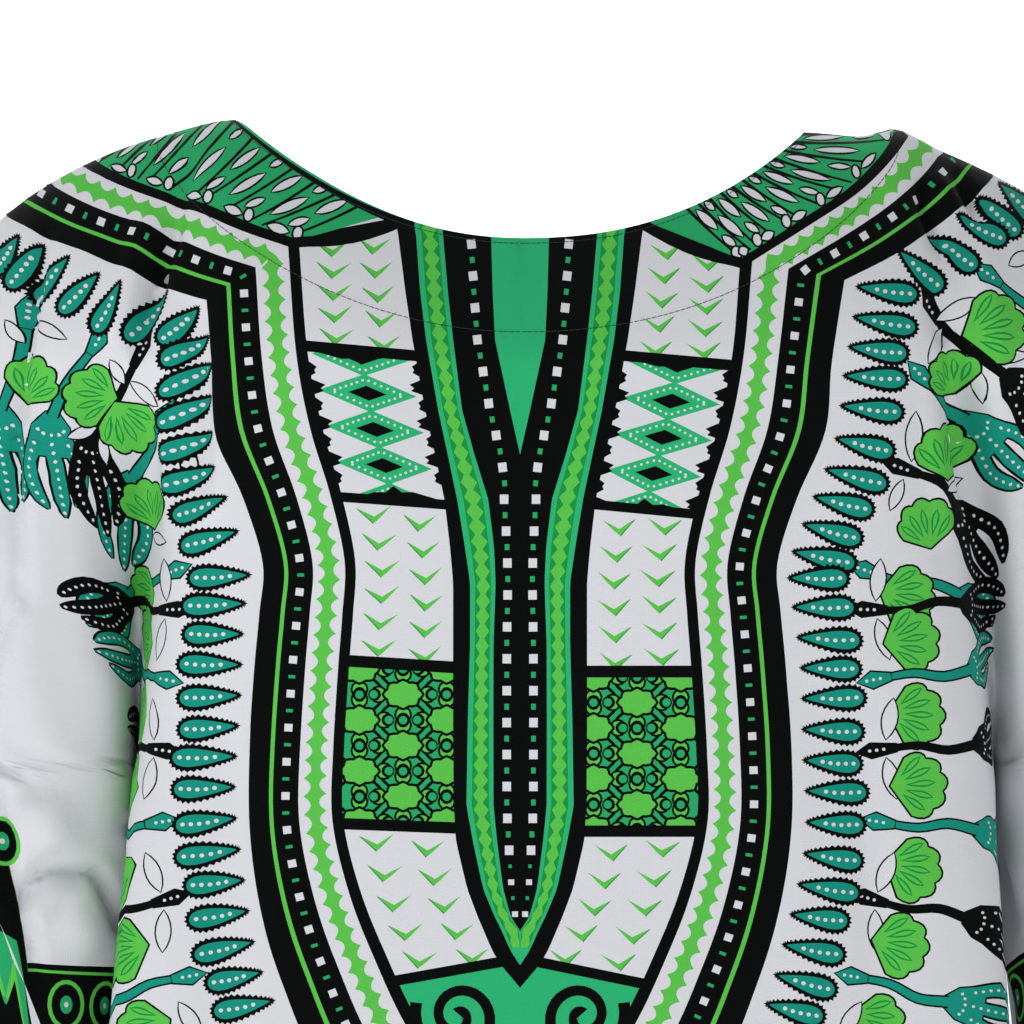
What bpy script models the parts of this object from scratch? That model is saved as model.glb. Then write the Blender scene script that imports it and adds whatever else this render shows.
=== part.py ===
"""Dashiki shirt, worn form: back and front cut in one with their sleeves, and two neck facings.

The back faces -Y, the wearer's left is -X, and z = 0 is close to the height of the neck points.
"""
import bpy
import bmesh
import numpy as np

# Driving sizes, metres
MM = 0.001
WALL = 0.0015
SEAM_GAP = 0.0003
NECK_HALF = 0.1385
YOKE_Z = -0.110
UNDERARM_Z = -0.310
HEM_Z = -0.740
CUFF_OUTER_Z = -0.455
CUFF_INNER_Z = -0.508
SHOULDER_TIP = {"left": 0.253, "right": 0.246}
FACING_WIDTH = 0.047
FACING_CLEAR = 0.0020

# Neckline and yoke of each face: drop at the centre, roundness of the neckline's left and right
# halves, and how square the fall from the shoulder is at the centre and at the neck point
NECKLINE = {
    "back": {"drop": 0.052, "left": 2.0, "right": 2.35, "centre_square": 1.30, "point_square": 1.9},
    "front": {"drop": 0.095, "left": 2.2, "right": 2.2, "centre_square": 1.35, "point_square": 1.9},
}

# Shoulder ridge: distance from the centre and height, mm
RIDGE = {
    "left": ((0, 10), (138.5, 9), (173, 1.5), (195, -5.5), (217, -15.5), (253, -40), (275, -73),
             (285, -110)),
    "right": ((0, 6), (138.5, 3), (166, 1), (181, 4.5), (204, -5.5), (234, -19.5), (248, -28), (275, -69),
              (287, -110)),
}

# Horizontal sections, mm. Each row is one height. Distances are from the centre and depths from
# the shoulder line: chest (side of the back or chest), edge (fold hanging from the shoulder),
# recess (trough behind it, then the side seam), under (underarm seam), inner and arm (sleeve),
# outer (overarm seam).
SECTION_COLUMNS = ("z", "centre_y", "chest_x", "chest_y", "edge_x", "edge_y", "recess_x", "recess_y",
                   "under_x", "inner_x", "inner_y", "arm_x", "arm_y", "outer_x")
SECTIONS = {
    ("back", "left"): (
        (-110, 122, 85, 123, 145, 113, 176, 98, 176, 203, 92, 245, 66, 285),
        (-160, 124, 92, 123, 153, 104, 180, 72, 180, 200, 82, 243, 72, 297),
        (-210, 122, 98, 119, 163, 94, 183, 50, 183, 197, 72, 241, 73, 303),
        (-260, 119, 102, 115, 170, 87, 184, 34, 184, 194, 64, 240, 72, 306),
        (-300, 117, 104, 112, 175, 84, 184, 15, 184, 192, 58, 240, 71, 309),
        (-310, 116.6, 104.3, 111.5, 177, 83.7, 184, 0, 184, 191, 56, 240, 71, 310),
        (-370, 115, 106, 109, 187, 82, 179, 0, 190, 191, 48, 238, 70, 314),
        (-440, 114, 110, 108, 194, 82, 182, 0, 198, 200, 46, 242, 69, 318),
        (-520, 114, 115, 108, 202, 81, 196, 0, 208, 211, 46, 250, 68, 322),
        (-620, 116, 120, 112, 210, 82, 220, 0, 216, 218, 46, 254, 68, 324),
        (-740, 120, 125, 118, 216, 86, 240, 0, 222, 224, 46, 258, 68, 326),
    ),
    ("back", "right"): (
        (-110, 122, 95, 122, 185, 100, 210, 83, 210, 230, 76, 256, 56, 287),
        (-160, 124, 105, 121, 199, 88, 220, 60, 220, 235, 66, 262, 60, 300),
        (-210, 122, 112, 117, 206, 81, 224, 44, 224, 238, 59, 266, 61, 308),
        (-260, 119, 118, 113, 213, 77, 228, 30, 228, 240, 54, 268, 61, 314),
        (-300, 117, 122, 111, 218, 75, 229, 14, 229, 240, 50, 270, 61, 318),
        (-310, 116.6, 122.6, 110.5, 219.2, 74.5, 229, 0, 229, 240, 48, 270, 61, 319),
        (-370, 115, 126, 108, 227, 73, 223, 0, 235, 241, 44, 272, 61, 324),
        (-440, 114, 130, 107, 233, 72, 225, 0, 242, 247, 42, 276, 60, 328),
        (-520, 114, 134, 107, 240, 74, 236, 0, 252, 256, 42, 284, 60, 332),
        (-620, 116, 138, 112, 246, 78, 252, 0, 260, 263, 42, 288, 60, 334),
        (-740, 120, 142, 118, 250, 84, 264, 0, 264, 268, 42, 292, 60, 336),
    ),
    ("front", "left"): (
        (-110, 88, 80, 86, 140, 82, 174, 70, 174, 203, 66, 245, 50, 285),
        (-160, 98, 88, 94, 151, 84, 178, 54, 178, 199, 60, 243, 56, 297),
        (-210, 104, 95, 99, 159, 84, 181, 39, 181, 196, 56, 241, 58, 303),
        (-260, 106, 100, 101, 166, 82, 183, 27, 183, 193, 52, 240, 58, 306),
        (-300, 105, 103, 101, 170, 80, 184, 12, 184, 191, 48, 240, 58, 309),
        (-310, 104.6, 103.6, 100.6, 171.2, 79.5, 184, 0, 184, 190, 47, 240, 58, 310),
        (-370, 102, 107, 98, 177, 77, 179, 0, 190, 191, 42, 239, 58, 314),
        (-440, 100, 111, 96, 183, 76, 182, 0, 198, 200, 41, 243, 58, 318),
        (-520, 99, 115, 96, 192, 76, 196, 0, 208, 211, 42, 250, 58, 322),
        (-620, 101, 120, 100, 202, 79, 220, 0, 216, 218, 42, 254, 58, 324),
        (-740, 106, 125, 106, 210, 84, 240, 0, 222, 224, 42, 258, 58, 326),
    ),
    ("front", "right"): (
        (-110, 88, 86, 85, 165, 76, 206, 62, 206, 230, 58, 256, 44, 287),
        (-160, 98, 95, 93, 182, 76, 216, 48, 216, 234, 53, 262, 50, 300),
        (-210, 104, 102, 98, 193, 75, 221, 36, 221, 237, 50, 266, 52, 308),
        (-260, 106, 108, 100, 202, 73, 226, 25, 226, 239, 47, 268, 53, 314),
        (-300, 105, 112, 99, 208, 72, 229, 12, 229, 240, 44, 270, 53, 318),
        (-310, 104.6, 112.8, 98.6, 209.3, 71.5, 229, 0, 229, 240, 43, 270, 53, 319),
        (-370, 102, 117, 96, 216, 69, 223, 0, 235, 241, 39, 272, 53, 324),
        (-440, 100, 121, 94, 222, 68, 225, 0, 242, 247, 38, 276, 53, 328),
        (-520, 99, 126, 94, 230, 70, 236, 0, 252, 256, 38, 284, 54, 332),
        (-620, 101, 131, 98, 237, 74, 252, 0, 260, 263, 38, 288, 54, 334),
        (-740, 106, 136, 104, 242, 80, 264, 0, 264, 268, 38, 292, 54, 336),
    ),
}

# Mesh steps between the stations centre, chest, edge, recess, inner, arm and outer
STATION_STEPS = (5, 4, 4, 3, 3, 4)
BODY_COLUMNS = sum(STATION_STEPS[:3])
HALF_COLUMNS = sum(STATION_STEPS)
NECK_COLUMNS = 7
YOKE_ROWS = 6
CHEST_ROWS = (-0.110, -0.134, -0.158, -0.182, -0.206, -0.230, -0.254, -0.276, -0.294, -0.303, UNDERARM_Z)
SKIRT_ROWS = 8
SLEEVE_ROWS = 5
FACING_ROWS = 3
FACING_COLUMNS = 26

COLOURS = {"back": (0.76, 0.76, 0.80), "front": (0.74, 0.74, 0.78),
           "neck_facing_back": (0.05, 0.42, 0.17), "neck_facing_front": (0.05, 0.40, 0.16)}


def smooth_table(heights, values, z):
    """Monotone cubic through a table whose heights fall from row to row."""
    x = -np.asarray(heights, float)
    y = np.asarray(values, float)
    step = np.diff(x)
    rise = np.diff(y) / step
    slope = np.zeros(len(x))
    same = rise[:-1] * rise[1:] > 0
    w1 = 2 * step[1:] + step[:-1]
    w2 = step[1:] + 2 * step[:-1]
    with np.errstate(divide="ignore", invalid="ignore"):
        mean = (w1 + w2) / (w1 / rise[:-1] + w2 / rise[1:])
    slope[1:-1] = np.where(same, mean, 0.0)
    slope[0] = rise[0]
    slope[-1] = rise[-1]
    q = np.clip(-np.asarray(z, float), x[0], x[-1])
    k = np.clip(np.searchsorted(x, q, side="right") - 1, 0, len(step) - 1)
    t = (q - x[k]) / step[k]
    return ((1 + 2 * t) * (1 - t) ** 2 * y[k] + t * (1 - t) ** 2 * step[k] * slope[k]
            + t * t * (3 - 2 * t) * y[k + 1] - t * t * (1 - t) * step[k] * slope[k + 1])


def stations(face, z, part):
    """Stations of one section from the left edge of the part to its right edge."""
    toward = -1.0 if face == "back" else 1.0
    sides = {}
    for side, sign in (("left", -1.0), ("right", 1.0)):
        rows = SECTIONS[face, side]
        heights = [row[0] * MM for row in rows]
        at = {name: smooth_table(heights, [row[k] * MM for row in rows], z)
              for k, name in enumerate(SECTION_COLUMNS) if k}
        centre = (0.0, toward * at["centre_y"])
        recess_y = toward * max(at["recess_y"], SEAM_GAP / 2)
        points = [(sign * at["chest_x"], toward * at["chest_y"]),
                  (sign * at["edge_x"], toward * at["edge_y"]),
                  (sign * at["recess_x"], recess_y),
                  (sign * at["under_x"], toward * SEAM_GAP / 2),
                  (sign * at["inner_x"], toward * at["inner_y"]),
                  (sign * at["arm_x"], toward * at["arm_y"]),
                  (sign * at["outer_x"], toward * SEAM_GAP / 2)]
        sides[side] = points
    left, right = sides["left"], sides["right"]
    if part == "body":
        return np.array(left[2::-1] + [centre] + right[:3])
    if part == "left":
        return np.array(left[:2:-1])
    if part == "right":
        return np.array(right[3:])
    return np.array(left[:3:-1] + left[2::-1] + [centre] + right[:3] + right[4:])


def section(face, z, part, fineness=1):
    """Smooth curve through the stations, sampled at the mesh columns."""
    p = stations(face, z, part)
    toward = -1.0 if face == "back" else 1.0
    steps = {"chest": STATION_STEPS[::-1] + STATION_STEPS,
             "body": STATION_STEPS[2::-1] + STATION_STEPS[:3],
             "left": STATION_STEPS[:2:-1],
             "right": STATION_STEPS[3:]}[part]
    chord = np.linalg.norm(np.diff(p, axis=0), axis=1)
    arrive = np.zeros(p.shape)
    for k in range(1, len(p) - 1):
        a, b = chord[k - 1], chord[k]
        arrive[k] = (b * (p[k] - p[k - 1]) / a + a * (p[k + 1] - p[k]) / b) / (a + b)
    arrive[-1] = (0.0, -toward)
    leave = arrive.copy()
    leave[0] = (0.0, toward)
    if part == "chest":
        # the trough between body and sleeve closes to a slit at the underarm
        close = np.clip((YOKE_Z - z) / (YOKE_Z - UNDERARM_Z), 0, 1) ** 3
        for k in (3, 9):
            arrive[k] = arrive[k] * (1 - close) + np.array((0.0, -toward)) * close
            leave[k] = leave[k] * (1 - close) + np.array((0.0, toward)) * close
    curve = [p[:1]]
    for k, count in enumerate(steps):
        t = (np.arange(count * fineness) + 1)[:, None] / (count * fineness)
        curve.append((1 + 2 * t) * (1 - t) ** 2 * p[k] + t * (1 - t) ** 2 * chord[k] * leave[k]
                     + t * t * (3 - 2 * t) * p[k + 1] - t * t * (1 - t) * chord[k] * arrive[k + 1])
    return np.vstack(curve)


def ridge_height(x):
    """Height of the shoulder line at x."""
    out = np.zeros(len(x))
    for side, on in (("left", x < 0), ("right", x >= 0)):
        table = np.array(RIDGE[side]) * MM
        out[on] = smooth_table(-table[:, 0], table[:, 1], -np.abs(x[on]))
    return out


def neck_height(face, x):
    """Height of the neckline at x."""
    shape = NECKLINE[face]
    share = np.clip(np.abs(x) / NECK_HALF, 0, 1) ** np.where(x < 0, shape["left"], shape["right"])
    ends = ridge_height(np.sign(x) * NECK_HALF)
    return -shape["drop"] * (1 - share) ** 0.95 + ends * share


def surface(face, x, z):
    """Depth of the yoke and chest at x and z, as a height over the shoulder line."""
    toward = -1.0 if face == "back" else 1.0
    shape = NECKLINE[face]
    base = section(face, YOKE_Z, "chest", 6)
    crest = ridge_height(x)
    fall = np.clip((crest - z) / np.maximum(crest - YOKE_Z, 1e-6), 0, 1)
    blend = np.clip(np.abs(x) / NECK_HALF, 0, 1)
    square = shape["centre_square"] + (shape["point_square"] - shape["centre_square"]) * blend ** 2
    full = np.interp(x, base[:, 0], base[:, 1])
    y = full * (1 - (1 - fall) ** square) ** (1 / square)
    for k in np.nonzero(z < YOKE_Z)[0]:
        row = section(face, z[k], "chest", 2)
        y[k] = np.interp(x[k], row[:, 0], row[:, 1])
    seam = toward * SEAM_GAP / 2
    return np.where(np.abs(y) < abs(seam), seam, y)


def yoke_rows(face):
    """Rows from the neckline and shoulder ridge down to the first whole section."""
    base = section(face, YOKE_Z, "chest")
    columns = np.arange(-HALF_COLUMNS, HALF_COLUMNS + 1)
    side = np.where(columns < 0, "left", "right")
    tip = np.array([SHOULDER_TIP[s] for s in side])
    out = np.clip((np.abs(columns) - NECK_COLUMNS) / (HALF_COLUMNS - NECK_COLUMNS), 0, 1)
    inner = NECK_HALF * np.sin(np.pi / 2 * np.clip(np.abs(columns) / NECK_COLUMNS, 0, 1))
    top_x = np.sign(columns) * np.where(out > 0, NECK_HALF + (tip - NECK_HALF) * out, inner)
    top_z = np.where(out > 0, ridge_height(top_x), neck_height(face, top_x))
    rows = []
    for j in range(YOKE_ROWS):
        f = (j / YOKE_ROWS) ** 2
        x = top_x + (base[:, 0] - top_x) * f
        z = top_z + (YOKE_Z - top_z) * f
        # the outermost columns follow the shoulder line on to the arm
        onto = np.clip((np.abs(columns) - (HALF_COLUMNS - STATION_STEPS[-1])) / STATION_STEPS[-1], 0, 1) ** 2
        lift = ridge_height(x) - z
        z = z + onto * np.where(columns < 0, lift[0], lift[-1])
        y = surface(face, x, z)
        rows.append(np.column_stack((x, y, z)))
    return rows


def patches(face):
    """Grids of points: yoke and chest in one, then body and the two sleeves below the underarm."""
    def row(z, part):
        flat = section(face, z, part)
        return np.column_stack((flat, np.full(len(flat), z)))

    chest = np.array(yoke_rows(face) + [row(z, "chest") for z in CHEST_ROWS])
    down = np.arange(SKIRT_ROWS + 1) / SKIRT_ROWS
    body = np.array([row(UNDERARM_Z + (HEM_Z - UNDERARM_Z) * d, "body") for d in down])
    grids = {"chest": chest, "body": body}
    for part in ("left", "right"):
        count = HALF_COLUMNS - BODY_COLUMNS + 1
        outward = np.arange(count) / (count - 1)
        if part == "left":
            outward = outward[::-1]
        cuff = CUFF_INNER_Z + (CUFF_OUTER_Z - CUFF_INNER_Z) * outward
        sleeve = []
        for d in np.arange(SLEEVE_ROWS + 1) / SLEEVE_ROWS:
            heights = UNDERARM_Z + (cuff - UNDERARM_Z) * d
            sleeve.append([(*section(face, z, part)[k], z) for k, z in enumerate(heights)])
        grids[part] = np.array(sleeve)
    return grids


def normals(face, grid):
    """Outward normals of one grid."""
    across = np.gradient(grid, axis=1)
    down = np.gradient(grid, axis=0)
    n = np.cross(down, across) if face == "back" else np.cross(across, down)
    return n / np.maximum(np.linalg.norm(n, axis=2, keepdims=True), 1e-9)


def flatten_seam(n):
    """Normals on a seam lie in the plane between back and front, so both faces meet squarely."""
    n[..., 1] = 0
    n /= np.maximum(np.linalg.norm(n, axis=-1, keepdims=True), 1e-9)


def closed_shell(name, points, shifts, quads):
    """A closed wall from outer points, their inward shifts and outer quads."""
    count = len(points)
    faces = [tuple(q) for q in quads]
    used = {}
    for q in faces:
        for a, b in zip(q, q[1:] + q[:1]):
            used[a, b] = True
    rim = [(b, a, a + count, b + count) for a, b in used if (b, a) not in used]
    inner = [tuple(v + count for v in reversed(q)) for q in faces]
    mesh = bpy.data.meshes.new(name)
    mesh.from_pydata([tuple(v) for v in np.vstack((points, points + shifts))], [], faces + inner + rim)
    mesh.update()
    bm = bmesh.new()
    bm.from_mesh(mesh)
    bmesh.ops.triangulate(bm, faces=bm.faces, quad_method="SHORT_EDGE")
    bm.to_mesh(mesh)
    bm.free()
    for polygon in mesh.polygons:
        polygon.use_smooth = True
    material = bpy.data.materials.new(name + "_cloth")
    material.use_nodes = True
    shader = material.node_tree.nodes["Principled BSDF"]
    shader.inputs["Base Color"].default_value = (*COLOURS[name], 1.0)
    shader.inputs["Roughness"].default_value = 0.85
    shader.inputs["Metallic"].default_value = 0.0
    mesh.materials.append(material)
    piece = bpy.data.objects.new(name, mesh)
    bpy.context.collection.objects.link(piece)
    return piece


def grid_quads(index, face):
    """Outward quads of an index grid."""
    quads = []
    for j in range(index.shape[0] - 1):
        for i in range(index.shape[1] - 1):
            q = (index[j, i], index[j + 1, i], index[j + 1, i + 1], index[j, i + 1])
            quads.append(tuple(int(v) for v in (q if face == "back" else q[::-1])))
    return quads


def build_panel(face):
    """Back or front with its half sleeves."""
    grids = patches(face)
    shift = {name: normals(face, grid) for name, grid in grids.items()}
    flatten_seam(shift["chest"][:, 0])
    flatten_seam(shift["chest"][:, -1])
    ridge = HALF_COLUMNS - NECK_COLUMNS + 1
    flatten_seam(shift["chest"][0, :ridge])
    flatten_seam(shift["chest"][0, -ridge:])
    for name in ("body", "left", "right"):
        flatten_seam(shift[name][:, 0])
        flatten_seam(shift[name][:, -1])
    points = [grids["chest"].reshape(-1, 3)]
    turn = [shift["chest"].reshape(-1, 3)]
    rows, width = grids["chest"].shape[:2]
    chest_index = np.arange(rows * width).reshape(rows, width)
    crotch = (HALF_COLUMNS - BODY_COLUMNS, HALF_COLUMNS + BODY_COLUMNS)
    for k in crotch:
        turn[0][chest_index[-1, k]] = (0, 0, -1)
    quads = grid_quads(chest_index, face)
    start = rows * width
    spans = {"body": (crotch[0], crotch[1] + 1), "left": (0, crotch[0] + 1), "right": (crotch[1], width)}
    for name, (first, last) in spans.items():
        grid = grids[name][1:]
        index = np.arange(grid.shape[0] * grid.shape[1]).reshape(grid.shape[:2]) + start
        index = np.vstack((chest_index[-1, first:last][None], index))
        points.append(grid.reshape(-1, 3))
        turn.append(shift[name][1:].reshape(-1, 3))
        quads += grid_quads(index, face)
        start += grid.shape[0] * grid.shape[1]
    return closed_shell(face, np.vstack(points), -WALL * np.vstack(turn), quads)


def build_facing(face):
    """Neck facing: a band along the neckline, inside the panel."""
    s = np.linspace(-1, 1, FACING_COLUMNS + 1)
    x0 = NECK_HALF * np.sin(np.pi / 2 * s)
    z0 = neck_height(face, x0)
    lean = np.radians(78) * s
    grid = []
    for r in np.arange(FACING_ROWS + 1) / FACING_ROWS:
        x = x0 + r * FACING_WIDTH * np.sin(lean)
        z = z0 - r * FACING_WIDTH * np.cos(lean)
        z[[0, -1]] = ridge_height(x[[0, -1]])
        grid.append(np.column_stack((x, surface(face, x, z), z)))
    grid = np.array(grid)
    n = normals(face, grid)
    flatten_seam(n[:, 0])
    flatten_seam(n[:, -1])
    outer = grid - (WALL + FACING_CLEAR) * n
    index = np.arange(grid.shape[0] * grid.shape[1]).reshape(grid.shape[:2])
    return closed_shell("neck_facing_" + face, outer.reshape(-1, 3), -WALL * n.reshape(-1, 3),
                        grid_quads(index, face))


for old in list(bpy.data.objects):
    bpy.data.objects.remove(old, do_unlink=True)

root = bpy.data.objects.new("dashiki_shirt", None)
bpy.context.collection.objects.link(root)
for face in ("back", "front"):
    build_panel(face).parent = root
    build_facing(face).parent = root
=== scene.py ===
"""Dashiki shirt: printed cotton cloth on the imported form, with stitches, floor, light and camera.

Flat coordinates are in millimetres: u runs across a panel from its centre line (as seen from
outside the back, to the right), v runs down from the neck points. On the back and chest u is the
distance from the centre line; past the folds that hang from the shoulders it follows the cloth.
"""
import math
import bpy
import numpy as np
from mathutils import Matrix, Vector
from mathutils.geometry import delaunay_2d_cdt


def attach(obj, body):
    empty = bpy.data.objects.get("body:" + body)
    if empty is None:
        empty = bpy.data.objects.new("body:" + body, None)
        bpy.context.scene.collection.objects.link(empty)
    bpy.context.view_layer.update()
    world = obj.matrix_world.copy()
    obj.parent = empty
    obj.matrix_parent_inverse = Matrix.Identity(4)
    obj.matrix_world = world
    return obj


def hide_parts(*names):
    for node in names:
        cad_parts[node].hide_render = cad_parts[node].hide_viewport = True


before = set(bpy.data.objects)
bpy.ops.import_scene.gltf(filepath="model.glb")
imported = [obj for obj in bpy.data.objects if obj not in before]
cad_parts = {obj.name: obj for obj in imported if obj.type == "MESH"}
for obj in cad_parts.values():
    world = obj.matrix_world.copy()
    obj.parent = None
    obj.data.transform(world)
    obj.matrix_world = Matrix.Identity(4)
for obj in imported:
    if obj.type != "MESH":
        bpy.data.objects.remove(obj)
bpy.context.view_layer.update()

# ---------------------------------------------------------------- form, as in the CAD source

MM = 0.001
SEAM_GAP = 0.0003
NECK_HALF = 0.1385
YOKE_Z = -0.110
UNDERARM_Z = -0.310
HEM_Z = -0.740
CUFF_OUTER_Z = -0.455
CUFF_INNER_Z = -0.508

# Neckline and yoke of each face: drop at the centre, roundness of the neckline's left and right
# halves, and how square the fall from the shoulder is at the centre and at the neck point
NECKLINE = {
    "back": {"drop": 0.052, "left": 2.0, "right": 2.35, "centre_square": 1.30, "point_square": 1.9},
    "front": {"drop": 0.095, "left": 2.2, "right": 2.2, "centre_square": 1.35, "point_square": 1.9},
}

# Shoulder ridge: distance from the centre and height, mm
RIDGE = {
    "left": ((0, 10), (138.5, 9), (173, 1.5), (195, -5.5), (217, -15.5), (253, -40), (275, -73),
             (285, -110)),
    "right": ((0, 6), (138.5, 3), (166, 1), (181, 4.5), (204, -5.5), (234, -19.5), (248, -28), (275, -69),
              (287, -110)),
}

# Horizontal sections, mm. Each row is one height. Distances are from the centre and depths from
# the shoulder line: chest (side of the back or chest), edge (fold hanging from the shoulder),
# recess (trough behind it, then the side seam), under (underarm seam), inner and arm (sleeve),
# outer (overarm seam).
SECTION_COLUMNS = ("z", "centre_y", "chest_x", "chest_y", "edge_x", "edge_y", "recess_x", "recess_y",
                   "under_x", "inner_x", "inner_y", "arm_x", "arm_y", "outer_x")
SECTIONS = {
    ("back", "left"): (
        (-110, 122, 85, 123, 145, 113, 176, 98, 176, 203, 92, 245, 66, 285),
        (-160, 124, 92, 123, 153, 104, 180, 72, 180, 200, 82, 243, 72, 297),
        (-210, 122, 98, 119, 163, 94, 183, 50, 183, 197, 72, 241, 73, 303),
        (-260, 119, 102, 115, 170, 87, 184, 34, 184, 194, 64, 240, 72, 306),
        (-300, 117, 104, 112, 175, 84, 184, 15, 184, 192, 58, 240, 71, 309),
        (-310, 116.6, 104.3, 111.5, 177, 83.7, 184, 0, 184, 191, 56, 240, 71, 310),
        (-370, 115, 106, 109, 187, 82, 179, 0, 190, 191, 48, 238, 70, 314),
        (-440, 114, 110, 108, 194, 82, 182, 0, 198, 200, 46, 242, 69, 318),
        (-520, 114, 115, 108, 202, 81, 196, 0, 208, 211, 46, 250, 68, 322),
        (-620, 116, 120, 112, 210, 82, 220, 0, 216, 218, 46, 254, 68, 324),
        (-740, 120, 125, 118, 216, 86, 240, 0, 222, 224, 46, 258, 68, 326),
    ),
    ("back", "right"): (
        (-110, 122, 95, 122, 185, 100, 210, 83, 210, 230, 76, 256, 56, 287),
        (-160, 124, 105, 121, 199, 88, 220, 60, 220, 235, 66, 262, 60, 300),
        (-210, 122, 112, 117, 206, 81, 224, 44, 224, 238, 59, 266, 61, 308),
        (-260, 119, 118, 113, 213, 77, 228, 30, 228, 240, 54, 268, 61, 314),
        (-300, 117, 122, 111, 218, 75, 229, 14, 229, 240, 50, 270, 61, 318),
        (-310, 116.6, 122.6, 110.5, 219.2, 74.5, 229, 0, 229, 240, 48, 270, 61, 319),
        (-370, 115, 126, 108, 227, 73, 223, 0, 235, 241, 44, 272, 61, 324),
        (-440, 114, 130, 107, 233, 72, 225, 0, 242, 247, 42, 276, 60, 328),
        (-520, 114, 134, 107, 240, 74, 236, 0, 252, 256, 42, 284, 60, 332),
        (-620, 116, 138, 112, 246, 78, 252, 0, 260, 263, 42, 288, 60, 334),
        (-740, 120, 142, 118, 250, 84, 264, 0, 264, 268, 42, 292, 60, 336),
    ),
    ("front", "left"): (
        (-110, 88, 80, 86, 140, 82, 174, 70, 174, 203, 66, 245, 50, 285),
        (-160, 98, 88, 94, 151, 84, 178, 54, 178, 199, 60, 243, 56, 297),
        (-210, 104, 95, 99, 159, 84, 181, 39, 181, 196, 56, 241, 58, 303),
        (-260, 106, 100, 101, 166, 82, 183, 27, 183, 193, 52, 240, 58, 306),
        (-300, 105, 103, 101, 170, 80, 184, 12, 184, 191, 48, 240, 58, 309),
        (-310, 104.6, 103.6, 100.6, 171.2, 79.5, 184, 0, 184, 190, 47, 240, 58, 310),
        (-370, 102, 107, 98, 177, 77, 179, 0, 190, 191, 42, 239, 58, 314),
        (-440, 100, 111, 96, 183, 76, 182, 0, 198, 200, 41, 243, 58, 318),
        (-520, 99, 115, 96, 192, 76, 196, 0, 208, 211, 42, 250, 58, 322),
        (-620, 101, 120, 100, 202, 79, 220, 0, 216, 218, 42, 254, 58, 324),
        (-740, 106, 125, 106, 210, 84, 240, 0, 222, 224, 42, 258, 58, 326),
    ),
    ("front", "right"): (
        (-110, 88, 86, 85, 165, 76, 206, 62, 206, 230, 58, 256, 44, 287),
        (-160, 98, 95, 93, 182, 76, 216, 48, 216, 234, 53, 262, 50, 300),
        (-210, 104, 102, 98, 193, 75, 221, 36, 221, 237, 50, 266, 52, 308),
        (-260, 106, 108, 100, 202, 73, 226, 25, 226, 239, 47, 268, 53, 314),
        (-300, 105, 112, 99, 208, 72, 229, 12, 229, 240, 44, 270, 53, 318),
        (-310, 104.6, 112.8, 98.6, 209.3, 71.5, 229, 0, 229, 240, 43, 270, 53, 319),
        (-370, 102, 117, 96, 216, 69, 223, 0, 235, 241, 39, 272, 53, 324),
        (-440, 100, 121, 94, 222, 68, 225, 0, 242, 247, 38, 276, 53, 328),
        (-520, 99, 126, 94, 230, 70, 236, 0, 252, 256, 38, 284, 54, 332),
        (-620, 101, 131, 98, 237, 74, 252, 0, 260, 263, 38, 288, 54, 334),
        (-740, 106, 136, 104, 242, 80, 264, 0, 264, 268, 38, 292, 54, 336),
    ),
}

STATION_STEPS = (5, 4, 4, 3, 3, 4)
BODY_COLUMNS = sum(STATION_STEPS[:3])
HALF_COLUMNS = sum(STATION_STEPS)

def smooth_table(heights, values, z):
    """Monotone cubic through a table whose heights fall from row to row."""
    x = -np.asarray(heights, float)
    y = np.asarray(values, float)
    step = np.diff(x)
    rise = np.diff(y) / step
    slope = np.zeros(len(x))
    same = rise[:-1] * rise[1:] > 0
    w1 = 2 * step[1:] + step[:-1]
    w2 = step[1:] + 2 * step[:-1]
    with np.errstate(divide="ignore", invalid="ignore"):
        mean = (w1 + w2) / (w1 / rise[:-1] + w2 / rise[1:])
    slope[1:-1] = np.where(same, mean, 0.0)
    slope[0] = rise[0]
    slope[-1] = rise[-1]
    q = np.clip(-np.asarray(z, float), x[0], x[-1])
    k = np.clip(np.searchsorted(x, q, side="right") - 1, 0, len(step) - 1)
    t = (q - x[k]) / step[k]
    return ((1 + 2 * t) * (1 - t) ** 2 * y[k] + t * (1 - t) ** 2 * step[k] * slope[k]
            + t * t * (3 - 2 * t) * y[k + 1] - t * t * (1 - t) * step[k] * slope[k + 1])


def stations(face, z, part):
    """Stations of one section from the left edge of the part to its right edge."""
    toward = -1.0 if face == "back" else 1.0
    sides = {}
    for side, sign in (("left", -1.0), ("right", 1.0)):
        rows = SECTIONS[face, side]
        heights = [row[0] * MM for row in rows]
        at = {name: smooth_table(heights, [row[k] * MM for row in rows], z)
              for k, name in enumerate(SECTION_COLUMNS) if k}
        centre = (0.0, toward * at["centre_y"])
        recess_y = toward * max(at["recess_y"], SEAM_GAP / 2)
        points = [(sign * at["chest_x"], toward * at["chest_y"]),
                  (sign * at["edge_x"], toward * at["edge_y"]),
                  (sign * at["recess_x"], recess_y),
                  (sign * at["under_x"], toward * SEAM_GAP / 2),
                  (sign * at["inner_x"], toward * at["inner_y"]),
                  (sign * at["arm_x"], toward * at["arm_y"]),
                  (sign * at["outer_x"], toward * SEAM_GAP / 2)]
        sides[side] = points
    left, right = sides["left"], sides["right"]
    if part == "body":
        return np.array(left[2::-1] + [centre] + right[:3])
    if part == "left":
        return np.array(left[:2:-1])
    if part == "right":
        return np.array(right[3:])
    return np.array(left[:3:-1] + left[2::-1] + [centre] + right[:3] + right[4:])


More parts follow.
